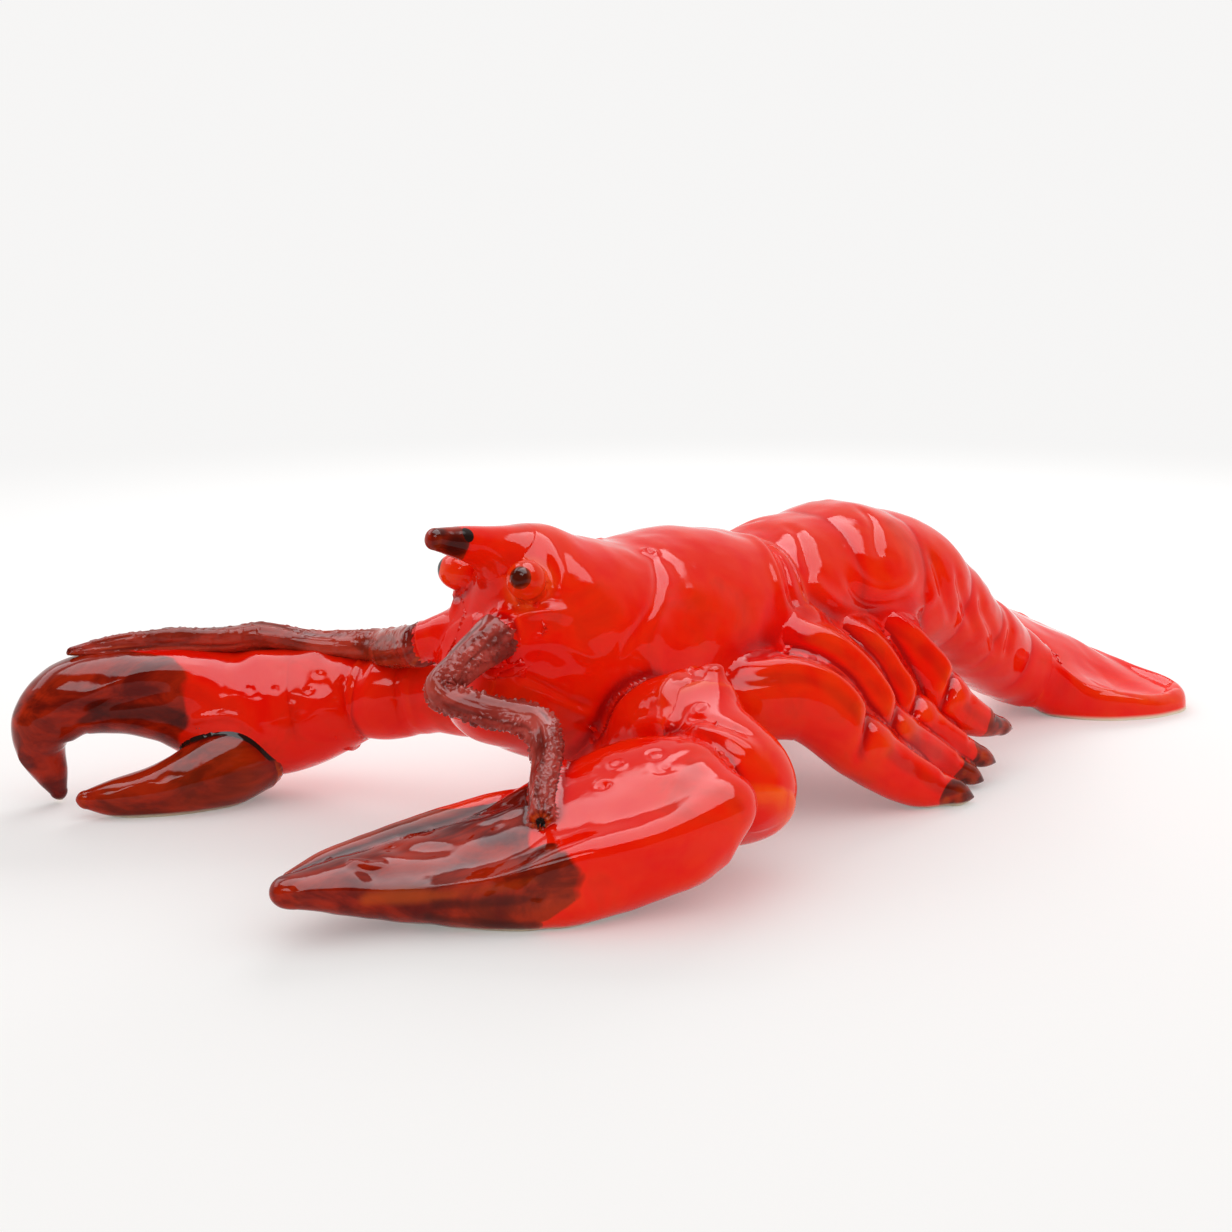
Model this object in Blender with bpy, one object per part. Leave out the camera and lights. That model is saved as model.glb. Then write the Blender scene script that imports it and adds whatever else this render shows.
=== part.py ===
# Ceramic lobster figurine: separately cast and hand-rolled clay pieces, luted together and glazed.
# Lengths are in metres. X is the lobster's own left, Y runs from head to tail, Z is up.
# Y starts near the brow and Z at the table; the whole figure is centred at the end.
# A place is (side, station, rise). Side is a share of the carapace's width. Station 0 is the brow,
# 1 the seam behind the carapace and 2 the root of the tail fan. Rise is a share of a height named with it.

import math

import bmesh
import bpy
import numpy as np
from mathutils import Vector

# Clay and joints
LUTING_GAP = 0.0003
WALL = 0.005
CLAW_WALL = 0.006
WIDEST_CLAW_CAVITY = 0.042
BROW_CLAY = 0.011
TAIL_CLAY = 0.025
MOUTH_OVERRUN = 0.015
BODY_VENT_DIAMETER = 0.009

# Carapace, from the brow back to the seam with the abdomen
BROW_Y = -0.014
CARAPACE_LENGTH = 0.1275
CARAPACE_WIDTH = 0.076
RIDGE_HEIGHT = 0.1005
BELLY_HEIGHT = 0.013
BROW_DOME = 0.003

# Abdomen, from the seam back to the root of the tail fan
ABDOMEN_LENGTH = 0.152
ABDOMEN_WIDTH = 0.068
HUMP_DROP = 0.0054
ABDOMEN_SEGMENTS = 6
SEGMENT_RELIEF = 0.0014

# Tail fan
FAN_LENGTH = 0.071
FAN_WIDTH = 0.088
FAN_THICKNESS = 0.030
FAN_ROLL = 4.5
FAN_EDGE_DOME = 0.0014

# Head fittings
ROSTRUM_REACH = 0.0130
ROSTRUM_GIRTH = 0.0155
ROSTRUM_TIP_RISE = 0.003
ROSTRUM_ROOT_DROP = 0.0096
ROSTRUM_ROOT_DEPTH = 0.031
EYE_DIAMETER = 0.0146
EYE_SPACING = 0.034
EYE_DROP = 0.0125
EYE_SETBACK = 0.013
ANTENNA_BASE_GIRTH = 0.0175
ANTENNA_BASE_RISE = 0.63
LEFT_ANTENNA_GIRTH = 0.0100
RIGHT_ANTENNA_GIRTH = 0.0105

# Arms and claws
ARM_GIRTH = 0.036
LEFT_WRIST_GIRTH = 0.038
LEFT_CLAW_WIDTH = 0.062
LEFT_CLAW_THICKNESS = 0.034
LEFT_FINGER_WIDTH = 0.014
LEFT_FINGER_THICKNESS = 0.017
ELBOW_SPINE_RISE = 0.0175
ELBOW_SPINE_GIRTH = 0.015
RIGHT_ARM_GIRTH = 0.030
RIGHT_CLAW_WIDTH = 0.046
RIGHT_CLAW_THICKNESS = 0.040
RIGHT_FINGER_GIRTH = 0.0315

# Walking legs
LEG_GIRTH = 0.030

# Places whose rise is a share of the ridge's height
LEFT_SHOULDER = (0.1842, 0.3451, 0.3184)
LEFT_ELBOW = (0.8158, 0.3843, 0.4577)
RIGHT_SHOULDER = (-0.1842, 0.2667, 0.4179)
RIGHT_ELBOW = (-0.6842, 0.1961, 0.3682)
RIGHT_WRIST = (-0.9211, 0.0863, 0.3483)
LEG_ROOTS = (
    (0.1711, 0.6588, 0.3781),
    (0.1711, 0.8549, 0.4577),
    (0.1711, 1.0428, 0.4577),
    (0.1711, 1.2072, 0.4577),
)
# Places whose rise is a share of the limb's own thickness, because the limb lies on the table
LEFT_WRIST = (1.1447, 0.2980, 0.7206)
LEFT_CLAW_START = (1.1579, 0.2431, 0.8235)
LEFT_CLAW_TIP = (0.6184, -0.8157, 0.3824)
LEFT_FINGER_START = (0.7105, -0.0941, 0.6471)
LEFT_FINGER_TIP = (0.5526, -0.7686, 0.3676)
RIGHT_CLAW_TIP = (-1.7105, -0.6118, 0.0750)
RIGHT_FINGER_START = (-1.2368, -0.2039, 0.5397)
RIGHT_FINGER_TIP = (-1.4079, -0.6510, 0.2222)
LEG_TIPS = (
    (0.9605, 1.2467, 0.0667),
    (0.8684, 1.3454, 0.1333),
    (0.8553, 1.3783, 0.2667),
    (0.7368, 1.5164, 0.5000),
)

# Shapes as shares of the sizes above.
# Carapace and abdomen: back along, back height, belly along, belly height, width.
CARAPACE_FORM = (
    (0.060, 0.720, -0.015, 0.33, 0.40),
    (0.105, 0.855, 0.040, 0.245, 0.58),
    (0.180, 0.962, 0.125, 0.19, 0.74),
    (0.251, 1.000, 0.220, 0.125, 0.84),
    (0.376, 0.966, 0.345, 0.057, 0.93),
    (0.514, 0.920, 0.470, 0.023, 0.985),
    (0.604, 0.929, 0.550, 0.011, 1.00),
    (0.737, 0.935, 0.675, 0.000, 1.00),
    (0.878, 0.912, 0.800, 0.000, 0.975),
    (1.000, 0.863, 0.902, 0.011, 0.93),
)
ABDOMEN_FORM = (
    (0.103, 0.972, 0.072, 0.23, 0.98),
    (0.270, 1.000, 0.224, 0.315, 1.00),
    (0.410, 0.974, 0.349, 0.368, 0.97),
    (0.555, 0.880, 0.467, 0.389, 0.91),
    (0.668, 0.728, 0.566, 0.347, 0.83),
    (0.773, 0.588, 0.658, 0.263, 0.74),
    (0.878, 0.472, 0.770, 0.179, 0.63),
    (0.960, 0.379, 0.875, 0.095, 0.54),
    (1.000, 0.326, 0.945, 0.063, 0.50),
)
# Tail fan: along, width, top height, underside height
FAN_FORM = (
    (0.00, 0.36, 0.93, 0.20),
    (0.12, 0.51, 0.95, 0.03),
    (0.30, 0.79, 0.90, -0.20),
    (0.50, 0.95, 0.76, -0.25),
    (0.70, 1.00, 0.60, -0.25),
    (0.83, 0.94, 0.48, -0.25),
    (0.94, 0.77, 0.40, -0.25),
    (0.985, 0.60, 0.36, -0.25),
)
# Limbs: along, to the side, rise, width, thickness, roll in degrees
LEFT_CLAW_FORM = (
    (0.00, 0.00, 0.00, 0.45, 0.76, 12),
    (0.05, 0.00, -0.01, 0.77, 0.94, 15),
    (0.15, 0.01, -0.04, 0.95, 1.00, 18),
    (0.28, 0.01, -0.13, 0.97, 0.97, 19),
    (0.41, 0.02, -0.19, 0.92, 0.85, 18),
    (0.55, 0.06, -0.20, 0.76, 0.74, 16),
    (0.71, 0.10, -0.15, 0.53, 0.65, 13),
    (0.84, 0.08, -0.07, 0.34, 0.53, 10),
    (0.94, 0.03, -0.01, 0.19, 0.35, 6),
)
LEFT_FINGER_FORM = (
    (0.00, 0.00, 0.00, 0.86, 0.94, 0),
    (0.17, 0.22, 0.03, 1.00, 1.00, 0),
    (0.37, 0.40, -0.03, 1.00, 1.00, 0),
    (0.57, 0.45, -0.06, 0.89, 0.94, 0),
    (0.78, 0.34, -0.04, 0.71, 0.82, 0),
    (0.95, 0.04, -0.01, 0.43, 0.53, 0),
)
RIGHT_CLAW_FORM = (
    (0.00, 0.00, 0.00, 0.61, 0.75, 0),
    (0.08, 0.10, 0.02, 0.78, 0.88, 0),
    (0.21, 0.19, 0.02, 0.96, 1.02, 0),
    (0.35, 0.19, 0.10, 1.00, 1.07, 0),
    (0.47, 0.15, 0.31, 0.87, 0.93, 0),
    (0.59, 0.08, 0.55, 0.67, 0.75, 0),
    (0.73, 0.02, 0.71, 0.59, 0.65, 0),
    (0.87, -0.01, 0.77, 0.52, 0.60, 0),
    (0.97, -0.01, 0.65, 0.46, 0.53, 0),
    (1.02, 0.00, 0.46, 0.37, 0.42, 0),
    (1.02, 0.00, 0.20, 0.24, 0.28, 0),
    (1.01, 0.01, 0.03, 0.13, 0.15, 0),
)
RIGHT_FINGER_FORM = (
    (-0.03, 0.01, -0.01, 0.93, 1.00, 0),
    (0.16, -0.14, -0.05, 0.90, 0.93, 0),
    (0.37, -0.20, -0.06, 0.73, 0.77, 0),
    (0.60, -0.16, -0.05, 0.57, 0.60, 0),
    (0.82, -0.09, -0.03, 0.40, 0.43, 0),
    (0.96, -0.02, -0.01, 0.20, 0.23, 0),
)
LEFT_ARM_FORM = (
    (0.00, 0.00, 0.00, 0.94, 0.94, 0),
    (0.36, 0.02, -0.06, 0.97, 0.97, 0),
    (0.69, 0.04, -0.05, 0.94, 0.94, 0),
    (0.96, 0.01, 0.02, 0.75, 0.78, 0),
)
LEFT_WRIST_FORM = (
    (-0.06, 0.00, 0.00, 0.60, 0.64, 0),
    (0.25, 0.00, 0.02, 0.74, 0.76, 0),
    (0.55, 0.00, 0.02, 0.92, 0.90, 0),
    (0.85, 0.00, 0.00, 1.00, 0.96, 0),
    (1.10, 0.00, 0.00, 0.86, 0.84, 0),
)
RIGHT_ARM_FORM = (
    (0.00, 0.00, 0.00, 1.00, 1.00, 0),
    (0.52, 0.06, 0.00, 1.00, 1.00, 0),
    (1.00, 0.00, 0.00, 0.90, 0.90, 0),
)
RIGHT_WRIST_FORM = (
    (-0.05, 0.00, 0.00, 0.83, 0.83, 0),
    (0.37, 0.04, -0.02, 1.00, 1.00, 0),
    (0.80, 0.00, -0.02, 1.03, 1.03, 0),
    (1.06, 0.00, 0.00, 0.88, 0.88, 0),
)
LEG_FORMS = (
    (
        (0.00, 0.00, 0.00, 0.93, 1.00, 0),
        (0.17, 0.52, 0.33, 0.88, 0.94, 0),
        (0.36, 0.52, 0.54, 0.87, 0.95, 0),
        (0.58, 0.49, 0.21, 0.72, 0.74, 0),
        (0.79, 0.27, 0.00, 0.61, 0.59, 0),
        (0.93, 0.18, 0.01, 0.35, 0.33, 0),
    ),
    (
        (0.00, 0.00, 0.00, 0.87, 0.93, 0),
        (0.16, 0.34, 0.42, 0.95, 1.07, 0),
        (0.36, 0.42, 0.32, 0.94, 1.06, 0),
        (0.58, 0.51, 0.08, 0.70, 0.75, 0),
        (0.79, 0.13, -0.02, 0.52, 0.53, 0),
        (0.93, 0.02, -0.02, 0.30, 0.28, 0),
    ),
    (
        (0.00, 0.00, 0.00, 0.80, 0.87, 0),
        (0.21, 0.22, 0.38, 0.90, 0.97, 0),
        (0.42, 0.30, 0.24, 0.78, 0.83, 0),
        (0.62, 0.36, 0.07, 0.66, 0.72, 0),
        (0.80, 0.20, 0.02, 0.51, 0.54, 0),
        (0.94, 0.01, 0.03, 0.30, 0.28, 0),
    ),
    (
        (0.00, 0.00, 0.00, 0.80, 0.80, 0),
        (0.19, 0.28, 0.31, 0.80, 0.87, 0),
        (0.42, 0.39, 0.23, 0.70, 0.75, 0),
        (0.62, 0.46, 0.04, 0.60, 0.62, 0),
        (0.81, 0.27, -0.01, 0.41, 0.41, 0),
        (0.94, 0.02, 0.00, 0.27, 0.25, 0),
    ),
)

# Antennae: places along the rolled clay, rise as a share of the ridge's height, and share of the girth
LEFT_ANTENNA_ROUTE = (
    (0.1842, 0.0078, 0.6965, 1.00),
    (0.1711, -0.0863, 0.6368, 1.00),
    (0.1974, -0.1804, 0.5672, 1.05),
    (0.3553, -0.0941, 0.5274, 1.00),
    (0.5263, 0.0078, 0.4975, 0.95),
    (0.6974, -0.0471, 0.4279, 0.90),
    (0.8421, -0.1333, 0.3532, 0.80),
    (0.9408, -0.1882, 0.2985, 0.60),
)
RIGHT_ANTENNA_ROUTE = (
    (-0.4868, 0.0627, 0.5771, 1.00),
    (-0.6974, 0.0863, 0.5473, 1.00),
    (-0.8947, 0.1020, 0.5373, 0.85),
    (-1.1053, 0.0000, 0.5522, 0.72),
    (-1.2895, -0.1020, 0.5672, 0.78),
    (-1.3684, -0.2039, 0.5672, 0.68),
    (-1.4605, -0.3294, 0.5721, 0.70),
    (-1.5526, -0.4471, 0.5672, 0.62),
    (-1.6513, -0.5725, 0.5473, 0.42),
)

# Head fittings: along, to the side, rise, width, thickness, roll in degrees
ROSTRUM_FORM = (
    (0.00, 0.0, 0.00, 1.00, 1.00, 0),
    (0.35, 0.0, 0.04, 0.95, 0.95, 0),
    (0.60, 0.0, 0.04, 0.80, 0.80, 0),
    (0.80, 0.0, 0.02, 0.60, 0.60, 0),
    (0.93, 0.0, 0.00, 0.46, 0.46, 0),
)
ANTENNA_BASE_FORM = (
    (0.00, 0.0, 0.00, 1.00, 1.00, 0),
    (0.50, 0.0, 0.05, 0.95, 0.95, 0),
    (0.92, 0.0, 0.03, 0.75, 0.75, 0),
)
ELBOW_SPINE_GIRTHS = (1.9, 1.3, 0.75, 0.4)

# Shares that round things off
BODY_SQUARENESS = 2.3
FAN_SQUARENESS = 4.5
LIMB_SQUARENESS = 2.2
DOME_ANGLES = (math.radians(38), math.radians(66))
ROSTRUM_TIP_DOME = 0.2
ANTENNA_BASE_DOME = 0.1
LEFT_JOINT_DOME = 0.167
RIGHT_JOINT_DOME = 0.125
LEFT_CLAW_HEEL_DOME = 0.059
LEFT_CLAW_TIP_DOME = 0.167
LEFT_FINGER_DOME = 0.25
RIGHT_CLAW_TIP_DOME = 0.0625
RIGHT_FINGER_HEEL_DOME = 0.125
RIGHT_FINGER_TIP_DOME = 0.083
LEG_TIP_DOME = 0.2

# Sides of a section, sections between two rows of a form, and facets of the round things
BODY_SIDES = 16
LEFT_CLAW_SIDES = 14
RIGHT_CLAW_SIDES = 12
LIMB_SIDES = 12
SMALL_SIDES = 10
VENT_SIDES = 12
EYE_SEGMENTS = 14
EYE_RING_STEPS = 9
RING_STEPS = 2
ROLL_STEPS = 3
ROLL_ROUND_STEPS = 2
PALM_RING_STEPS = 9
CUTTING_TABLE = 1.0
CREASE = math.radians(50)


def clear_scene():
    for thing in list(bpy.data.objects):
        bpy.data.objects.remove(thing, do_unlink=True)


def new_collection(name):
    group = bpy.data.collections.new(name)
    bpy.context.scene.collection.children.link(group)
    return group


def clay(name, colour, roughness):
    finish = bpy.data.materials.new(name)
    finish.use_nodes = True
    shader = finish.node_tree.nodes["Principled BSDF"]
    shader.inputs["Base Color"].default_value = (*colour, 1.0)
    shader.inputs["Roughness"].default_value = roughness
    shader.inputs["Metallic"].default_value = 0.0
    shader.inputs["Coat Weight"].default_value = 0.6
    finish.diffuse_color = (*colour, 1.0)
    return finish


def smooth_rows(rows, steps):
    # Catmull-Rom curve through every column of the rows
    rows = np.array(rows, float)
    padded = np.vstack((2 * rows[0] - rows[1], rows, 2 * rows[-1] - rows[-2]))
    smooth = []
    for first in range(len(rows) - 1):
        a, b, c, d = padded[first : first + 4]
        for step in range(steps):
            t = step / steps
            bend = (2 * a - 5 * b + 4 * c - d) * t**2 + (3 * b - a - 3 * c + d) * t**3
            smooth.append(0.5 * (2 * b + (c - a) * t + bend))
    smooth.append(rows[-1])
    return np.array(smooth)


def station_y(station):
    if station <= 1:
        return BROW_Y + station * CARAPACE_LENGTH
    return BROW_Y + CARAPACE_LENGTH + (station - 1) * ABDOMEN_LENGTH


def place(shares, height):
    side, station, rise = shares
    return (side * CARAPACE_WIDTH, station_y(station), rise * height)


class Ring:
    # A closed section: centre, unit side and up vectors, half-width, half-height and squareness
    def __init__(self, centre, side, up, half_width, half_height, squareness=2.0):
        self.centre = np.array(centre, float)
        self.side = np.array(side, float)
        self.up = np.array(up, float)
        self.half_width = half_width
        self.half_height = half_height
        self.squareness = squareness

    def points(self, sides):
        corners = []
        for number in range(sides):
            angle = 2 * math.pi * (number + 0.5) / sides
            across = math.copysign(abs(math.cos(angle)) ** (2 / self.squareness), math.cos(angle))
            upward = math.copysign(abs(math.sin(angle)) ** (2 / self.squareness), math.sin(angle))
            corners.append(
                self.centre
                + self.side * across * self.half_width
                + self.up * upward * self.half_height
            )
        return corners


def dome(ring, outward, reach):
    # The rings and the pole that round off the end of a loft
    rings = []
    for angle in DOME_ANGLES:
        rings.append(
            Ring(
                ring.centre + outward * reach * math.sin(angle),
                ring.side,
                ring.up,
                ring.half_width * math.cos(angle),
                ring.half_height * math.cos(angle),
                ring.squareness,
            )
        )
    return rings, ring.centre + outward * reach


def swell(mesh, grow):
    # Moves the whole skin out by the same distance
    mesh.normal_update()
    steps = [vert.normal * vert.calc_shell_factor() * grow for vert in mesh.verts]
    for vert, step in zip(mesh.verts, steps):
        vert.co += step


class Loft:
    # A skin over rings; each end is flat, or a dome of the given reach
    def __init__(self, rings, start_dome=0.0, end_dome=0.0, sides=LIMB_SIDES):
        self.rings = rings
        self.start_dome = start_dome
        self.end_dome = end_dome
        self.sides = sides

    def add_to(self, mesh):
        rings = list(self.rings)
        head = self.rings[0].centre - self.rings[1].centre
        head /= np.linalg.norm(head)
        tail = self.rings[-1].centre - self.rings[-2].centre
        tail /= np.linalg.norm(tail)
        start_pole = end_pole = None
        if self.start_dome:
            extra, start_pole = dome(rings[0], head, self.start_dome)
            rings = extra[::-1] + rings
        if self.end_dome:
            extra, end_pole = dome(rings[-1], tail, self.end_dome)
            rings = rings + extra
        loops = [[mesh.verts.new(p) for p in ring.points(self.sides)] for ring in rings]
        for near, far in zip(loops, loops[1:]):
            for number in range(self.sides):
                after = (number + 1) % self.sides
                mesh.faces.new((near[number], near[after], far[after], far[number]))
        self.close(mesh, loops[0], start_pole)
        self.close(mesh, loops[-1], end_pole)

    def close(self, mesh, loop, pole):
        if pole is None:
            mesh.faces.new(loop)
            return
        top = mesh.verts.new(pole)
        for number in range(len(loop)):
            mesh.faces.new((loop[number], loop[(number + 1) % len(loop)], top))

    def as_mesh(self, name, grow=0.0):
        mesh = bmesh.new()
        self.add_to(mesh)
        bmesh.ops.recalc_face_normals(mesh, faces=mesh.faces)
        swell(mesh, grow)
        data = bpy.data.meshes.new(name)
        mesh.to_mesh(data)
        mesh.free()
        return data


class Pellet:
    # A ball of clay
    def __init__(self, centre, diameter):
        self.centre = Vector(centre)
        self.diameter = diameter

    def as_mesh(self, name, grow=0.0):
        mesh = bmesh.new()
        bmesh.ops.create_uvsphere(
            mesh, u_segments=EYE_SEGMENTS, v_segments=EYE_RING_STEPS, radius=self.diameter / 2 + grow
        )
        bmesh.ops.translate(mesh, verts=mesh.verts, vec=self.centre)
        data = bpy.data.meshes.new(name)
        mesh.to_mesh(data)
        mesh.free()
        return data


class RolledClay:
    # A tapering roll of clay along a route of places with girth shares
    def __init__(self, route, girth):
        self.route = route
        self.girth = girth

    def as_mesh(self, name, grow=0.0):
        line = bpy.data.curves.new(name, "CURVE")
        line.dimensions = "3D"
        line.resolution_u = ROLL_STEPS
        line.render_resolution_u = 0
        line.bevel_depth = self.girth / 2 + grow
        line.bevel_resolution = ROLL_ROUND_STEPS
        line.use_fill_caps = True
        roll = line.splines.new("BEZIER")
        roll.bezier_points.add(len(self.route) - 1)
        for point, (*shares, girth_share) in zip(roll.bezier_points, self.route):
            point.co = place(shares, RIDGE_HEIGHT)
            point.radius = girth_share
            point.handle_left_type = "AUTO"
            point.handle_right_type = "AUTO"
        guide = bpy.data.objects.new(name + "_guide", line)
        bpy.context.scene.collection.objects.link(guide)
        scene_now = bpy.context.evaluated_depsgraph_get()
        data = bpy.data.meshes.new_from_object(guide.evaluated_get(scene_now))
        bpy.data.objects.remove(guide, do_unlink=True)
        data.name = name
        mesh = bmesh.new()
        mesh.from_mesh(data)
        bmesh.ops.remove_doubles(mesh, verts=mesh.verts, dist=0.00001)
        bmesh.ops.recalc_face_normals(mesh, faces=mesh.faces)
        mesh.to_mesh(data)
        mesh.free()
        data.materials.clear()
        return data


def body_rings(rows, squareness, roll=0.0):
    # Sections of the body between a point on the back and a point on the belly, both on the mid-plane
    side = (math.cos(math.radians(roll)), 0.0, -math.sin(math.radians(roll)))
    rings = []
    for back_y, back_z, belly_y, belly_z, half_width in rows:
        centre = np.array((0.0, (back_y + belly_y) / 2, (back_z + belly_z) / 2))
        up = np.array((0.0, back_y - belly_y, back_z - belly_z))
        height = np.linalg.norm(up)
        rings.append(Ring(centre, side, up / height, half_width, height / 2, squareness))
    return rings


def limb_rings(start, end, width, thickness, form, mirror=1.0):
    # Sections square to a limb's own path, which bows to the side and up from the line start to end
    start = np.array(start, float)
    line = np.array(end, float) - start
    forward = line / np.linalg.norm(line)
    side = np.cross(forward, (0.0, 0.0, 1.0))
    side /= np.linalg.norm(side)
    up = np.cross(side, forward)
    rows = smooth_rows(form, RING_STEPS)
    path = [start + row[0] * line + row[1] * width * side + row[2] * thickness * up for row in rows]
    flip = np.array((mirror, 1.0, 1.0))
    rings = []
    for number, row in enumerate(rows):
        ahead = path[min(number + 1, len(path) - 1)] - path[max(number - 1, 0)]
        ahead /= np.linalg.norm(ahead)
        own_up = np.cross(side, ahead)
        own_up /= np.linalg.norm(own_up)
        own_side = np.cross(ahead, own_up)
        roll = math.radians(row[5])
        rolled_side = own_side * math.cos(roll) + own_up * math.sin(roll)
        rolled_up = own_up * math.cos(roll) - own_side * math.sin(roll)
        rings.append(
            Ring(
                path[number] * flip,
                rolled_side * flip,
                rolled_up * flip,
                row[3] * width / 2,
                row[4] * thickness / 2,
                LIMB_SQUARENESS,
            )
        )
    return rings


class Figure:
    # Collects the pieces; each new piece is trimmed back from the pieces it is luted to
    def __init__(self):
        self.pieces = new_collection("ceramic_lobster")
        self.cutters = new_collection("cutters")
        self.built = []
        self.root = bpy.data.objects.new("lobster_centre", None)
        self.pieces.objects.link(self.root)

    def cutter(self, name, data):
        tool = bpy.data.objects.new(name, data)
        self.cutters.objects.link(tool)
        tool.hide_render = True
        tool.display_type = "WIRE"
        tool.parent = self.root
        return tool

    def combine(self, piece, operation, tool, label):
        step = piece.modifiers.new(label, "BOOLEAN")
        step.operation = operation
        step.solver = "EXACT"
        step.object = tool

    def add(self, name, forms, finish, luted_to=(), stands=False):
        piece = bpy.data.objects.new(name, forms[0].as_mesh(name))
        self.pieces.objects.link(piece)
        piece.parent = self.root
        piece.data.materials.append(finish)
        for number, form in enumerate(forms[1:]):
            lump = self.cutter(f"{name}_lump_{number}", form.as_mesh(name))
            self.combine(piece, "UNION", lump, f"lump {number}")
        for other in luted_to:
            for number, form in enumerate(self.forms_of(other)):
                tool = self.cutter(f"{name}_from_{other}_{number}", form.as_mesh(other, LUTING_GAP))
                self.combine(piece, "DIFFERENCE", tool, f"clear of {other} {number}")
        if stands:
            self.combine(piece, "DIFFERENCE", self.table(name), "flat foot")
        piece.data.shade_smooth()
        piece.data.set_sharp_from_angle(angle=CREASE)
        self.built.append((name, forms))
        return piece

    def forms_of(self, name):
        for built_name, forms in self.built:
            if built_name == name:
                return forms
        raise KeyError(name)

    def table(self, name):
        mesh = bmesh.new()
        bmesh.ops.create_cube(mesh, size=CUTTING_TABLE)
        bmesh.ops.translate(mesh, verts=mesh.verts, vec=(0.0, 0.0, -CUTTING_TABLE / 2))
        data = bpy.data.meshes.new(name + "_table")
        mesh.to_mesh(data)
        mesh.free()
        return self.cutter(name + "_table", data)

    def hollow(self, piece, core):
        self.combine(piece, "DIFFERENCE", self.cutter(piece.name + "_core", core.as_mesh("core")), "cavity")

    def vent(self, piece, top, diameter):
        # Air hole that lets the closed cavity breathe in the kiln
        mesh = bmesh.new()
        radius = diameter / 2
        bmesh.ops.create_cone(
            mesh, cap_ends=True, segments=VENT_SIDES, radius1=radius, radius2=radius, depth=2 * top[2]
        )
        bmesh.ops.translate(mesh, verts=mesh.verts, vec=(top[0], top[1], 0.0))
        data = bpy.data.meshes.new(piece.name + "_vent")
        mesh.to_mesh(data)
        mesh.free()
        self.combine(piece, "DIFFERENCE", self.cutter(piece.name + "_vent", data), "vent")

    def centre(self):
        # Moves the figure so that the middle of its footprint is the origin and its feet are at Z = 0
        bpy.context.view_layer.update()
        scene_now = bpy.context.evaluated_depsgraph_get()
        points = []
        for piece in self.pieces.objects:
            if piece.type == "MESH":
                shape = piece.evaluated_get(scene_now)
                points += [piece.matrix_world @ corner.co for corner in shape.data.vertices]
        low = [min(p[axis] for p in points) for axis in range(3)]
        high = [max(p[axis] for p in points) for axis in range(3)]
        self.root.location = (-(low[0] + high[0]) / 2, -(low[1] + high[1]) / 2, -low[2])
        bpy.context.view_layer.update()


def carapace_rows():
    height = RIDGE_HEIGHT - BELLY_HEIGHT
    rows = [
        (
            station_y(back),
            BELLY_HEIGHT + back_rise * height,
            station_y(belly),
            BELLY_HEIGHT + belly_rise * height,
            width * CARAPACE_WIDTH / 2,
        )
        for back, back_rise, belly, belly_rise, width in CARAPACE_FORM
    ]
    return smooth_rows(rows, RING_STEPS)


def abdomen_rows():
    hump = RIDGE_HEIGHT - HUMP_DROP
    seam = carapace_rows()[-1] + np.array((LUTING_GAP, 0.0, LUTING_GAP, 0.0, 0.0)) * 1.1
    rows = [tuple(seam)]
    for back, back_rise, belly, belly_rise, width in ABDOMEN_FORM:
        rows.append(
            (
                station_y(1 + back),
                back_rise * hump,
                station_y(1 + belly),
                belly_rise * hump,
                width * ABDOMEN_WIDTH / 2,
            )
        )
    smooth = smooth_rows(rows, RING_STEPS)
    for row, along in zip(smooth, np.linspace(0.0, 1.0, len(smooth))):
        wave = abs(math.sin(math.pi * ABDOMEN_SEGMENTS * along)) - 0.5
        fade = min(1.0, along * ABDOMEN_SEGMENTS)
        row[1] += SEGMENT_RELIEF * wave * fade
        row[4] += SEGMENT_RELIEF * wave * fade
    return smooth


def cavity(rings, wall, closed_end_clay, widest):
    # The space inside a slip-cast wall: it stops short of the first ring and runs out past the last one
    inner = []
    for ring in rings:
        half_width = min(ring.half_width - wall, widest / 2)
        half_height = ring.half_height - wall
        clay_left = np.linalg.norm(ring.centre - rings[0].centre)
        if clay_left > closed_end_clay and min(half_width, half_height) > wall / 2:
            inner.append(Ring(ring.centre, ring.side, ring.up, half_width, half_height, ring.squareness))
    last = inner[-1]
    outward = last.centre - inner[-2].centre
    outward *= MOUTH_OVERRUN / np.linalg.norm(outward)
    mouth = Ring(
        last.centre + outward, last.side, last.up, last.half_width, last.half_height, last.squareness
    )
    return Loft(inner + [mouth])


def upright_rings(base, tip, girths):
    # Level sections of a spine that stands up from base to tip
    base = np.array(base, float)
    tip = np.array(tip, float)
    rings = []
    for number, girth in enumerate(girths):
        centre = base + (tip - base) * number / (len(girths) - 1)
        rings.append(Ring(centre, (1.0, 0.0, 0.0), (0.0, 1.0, 0.0), girth / 2, girth / 2))
    return rings


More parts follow.
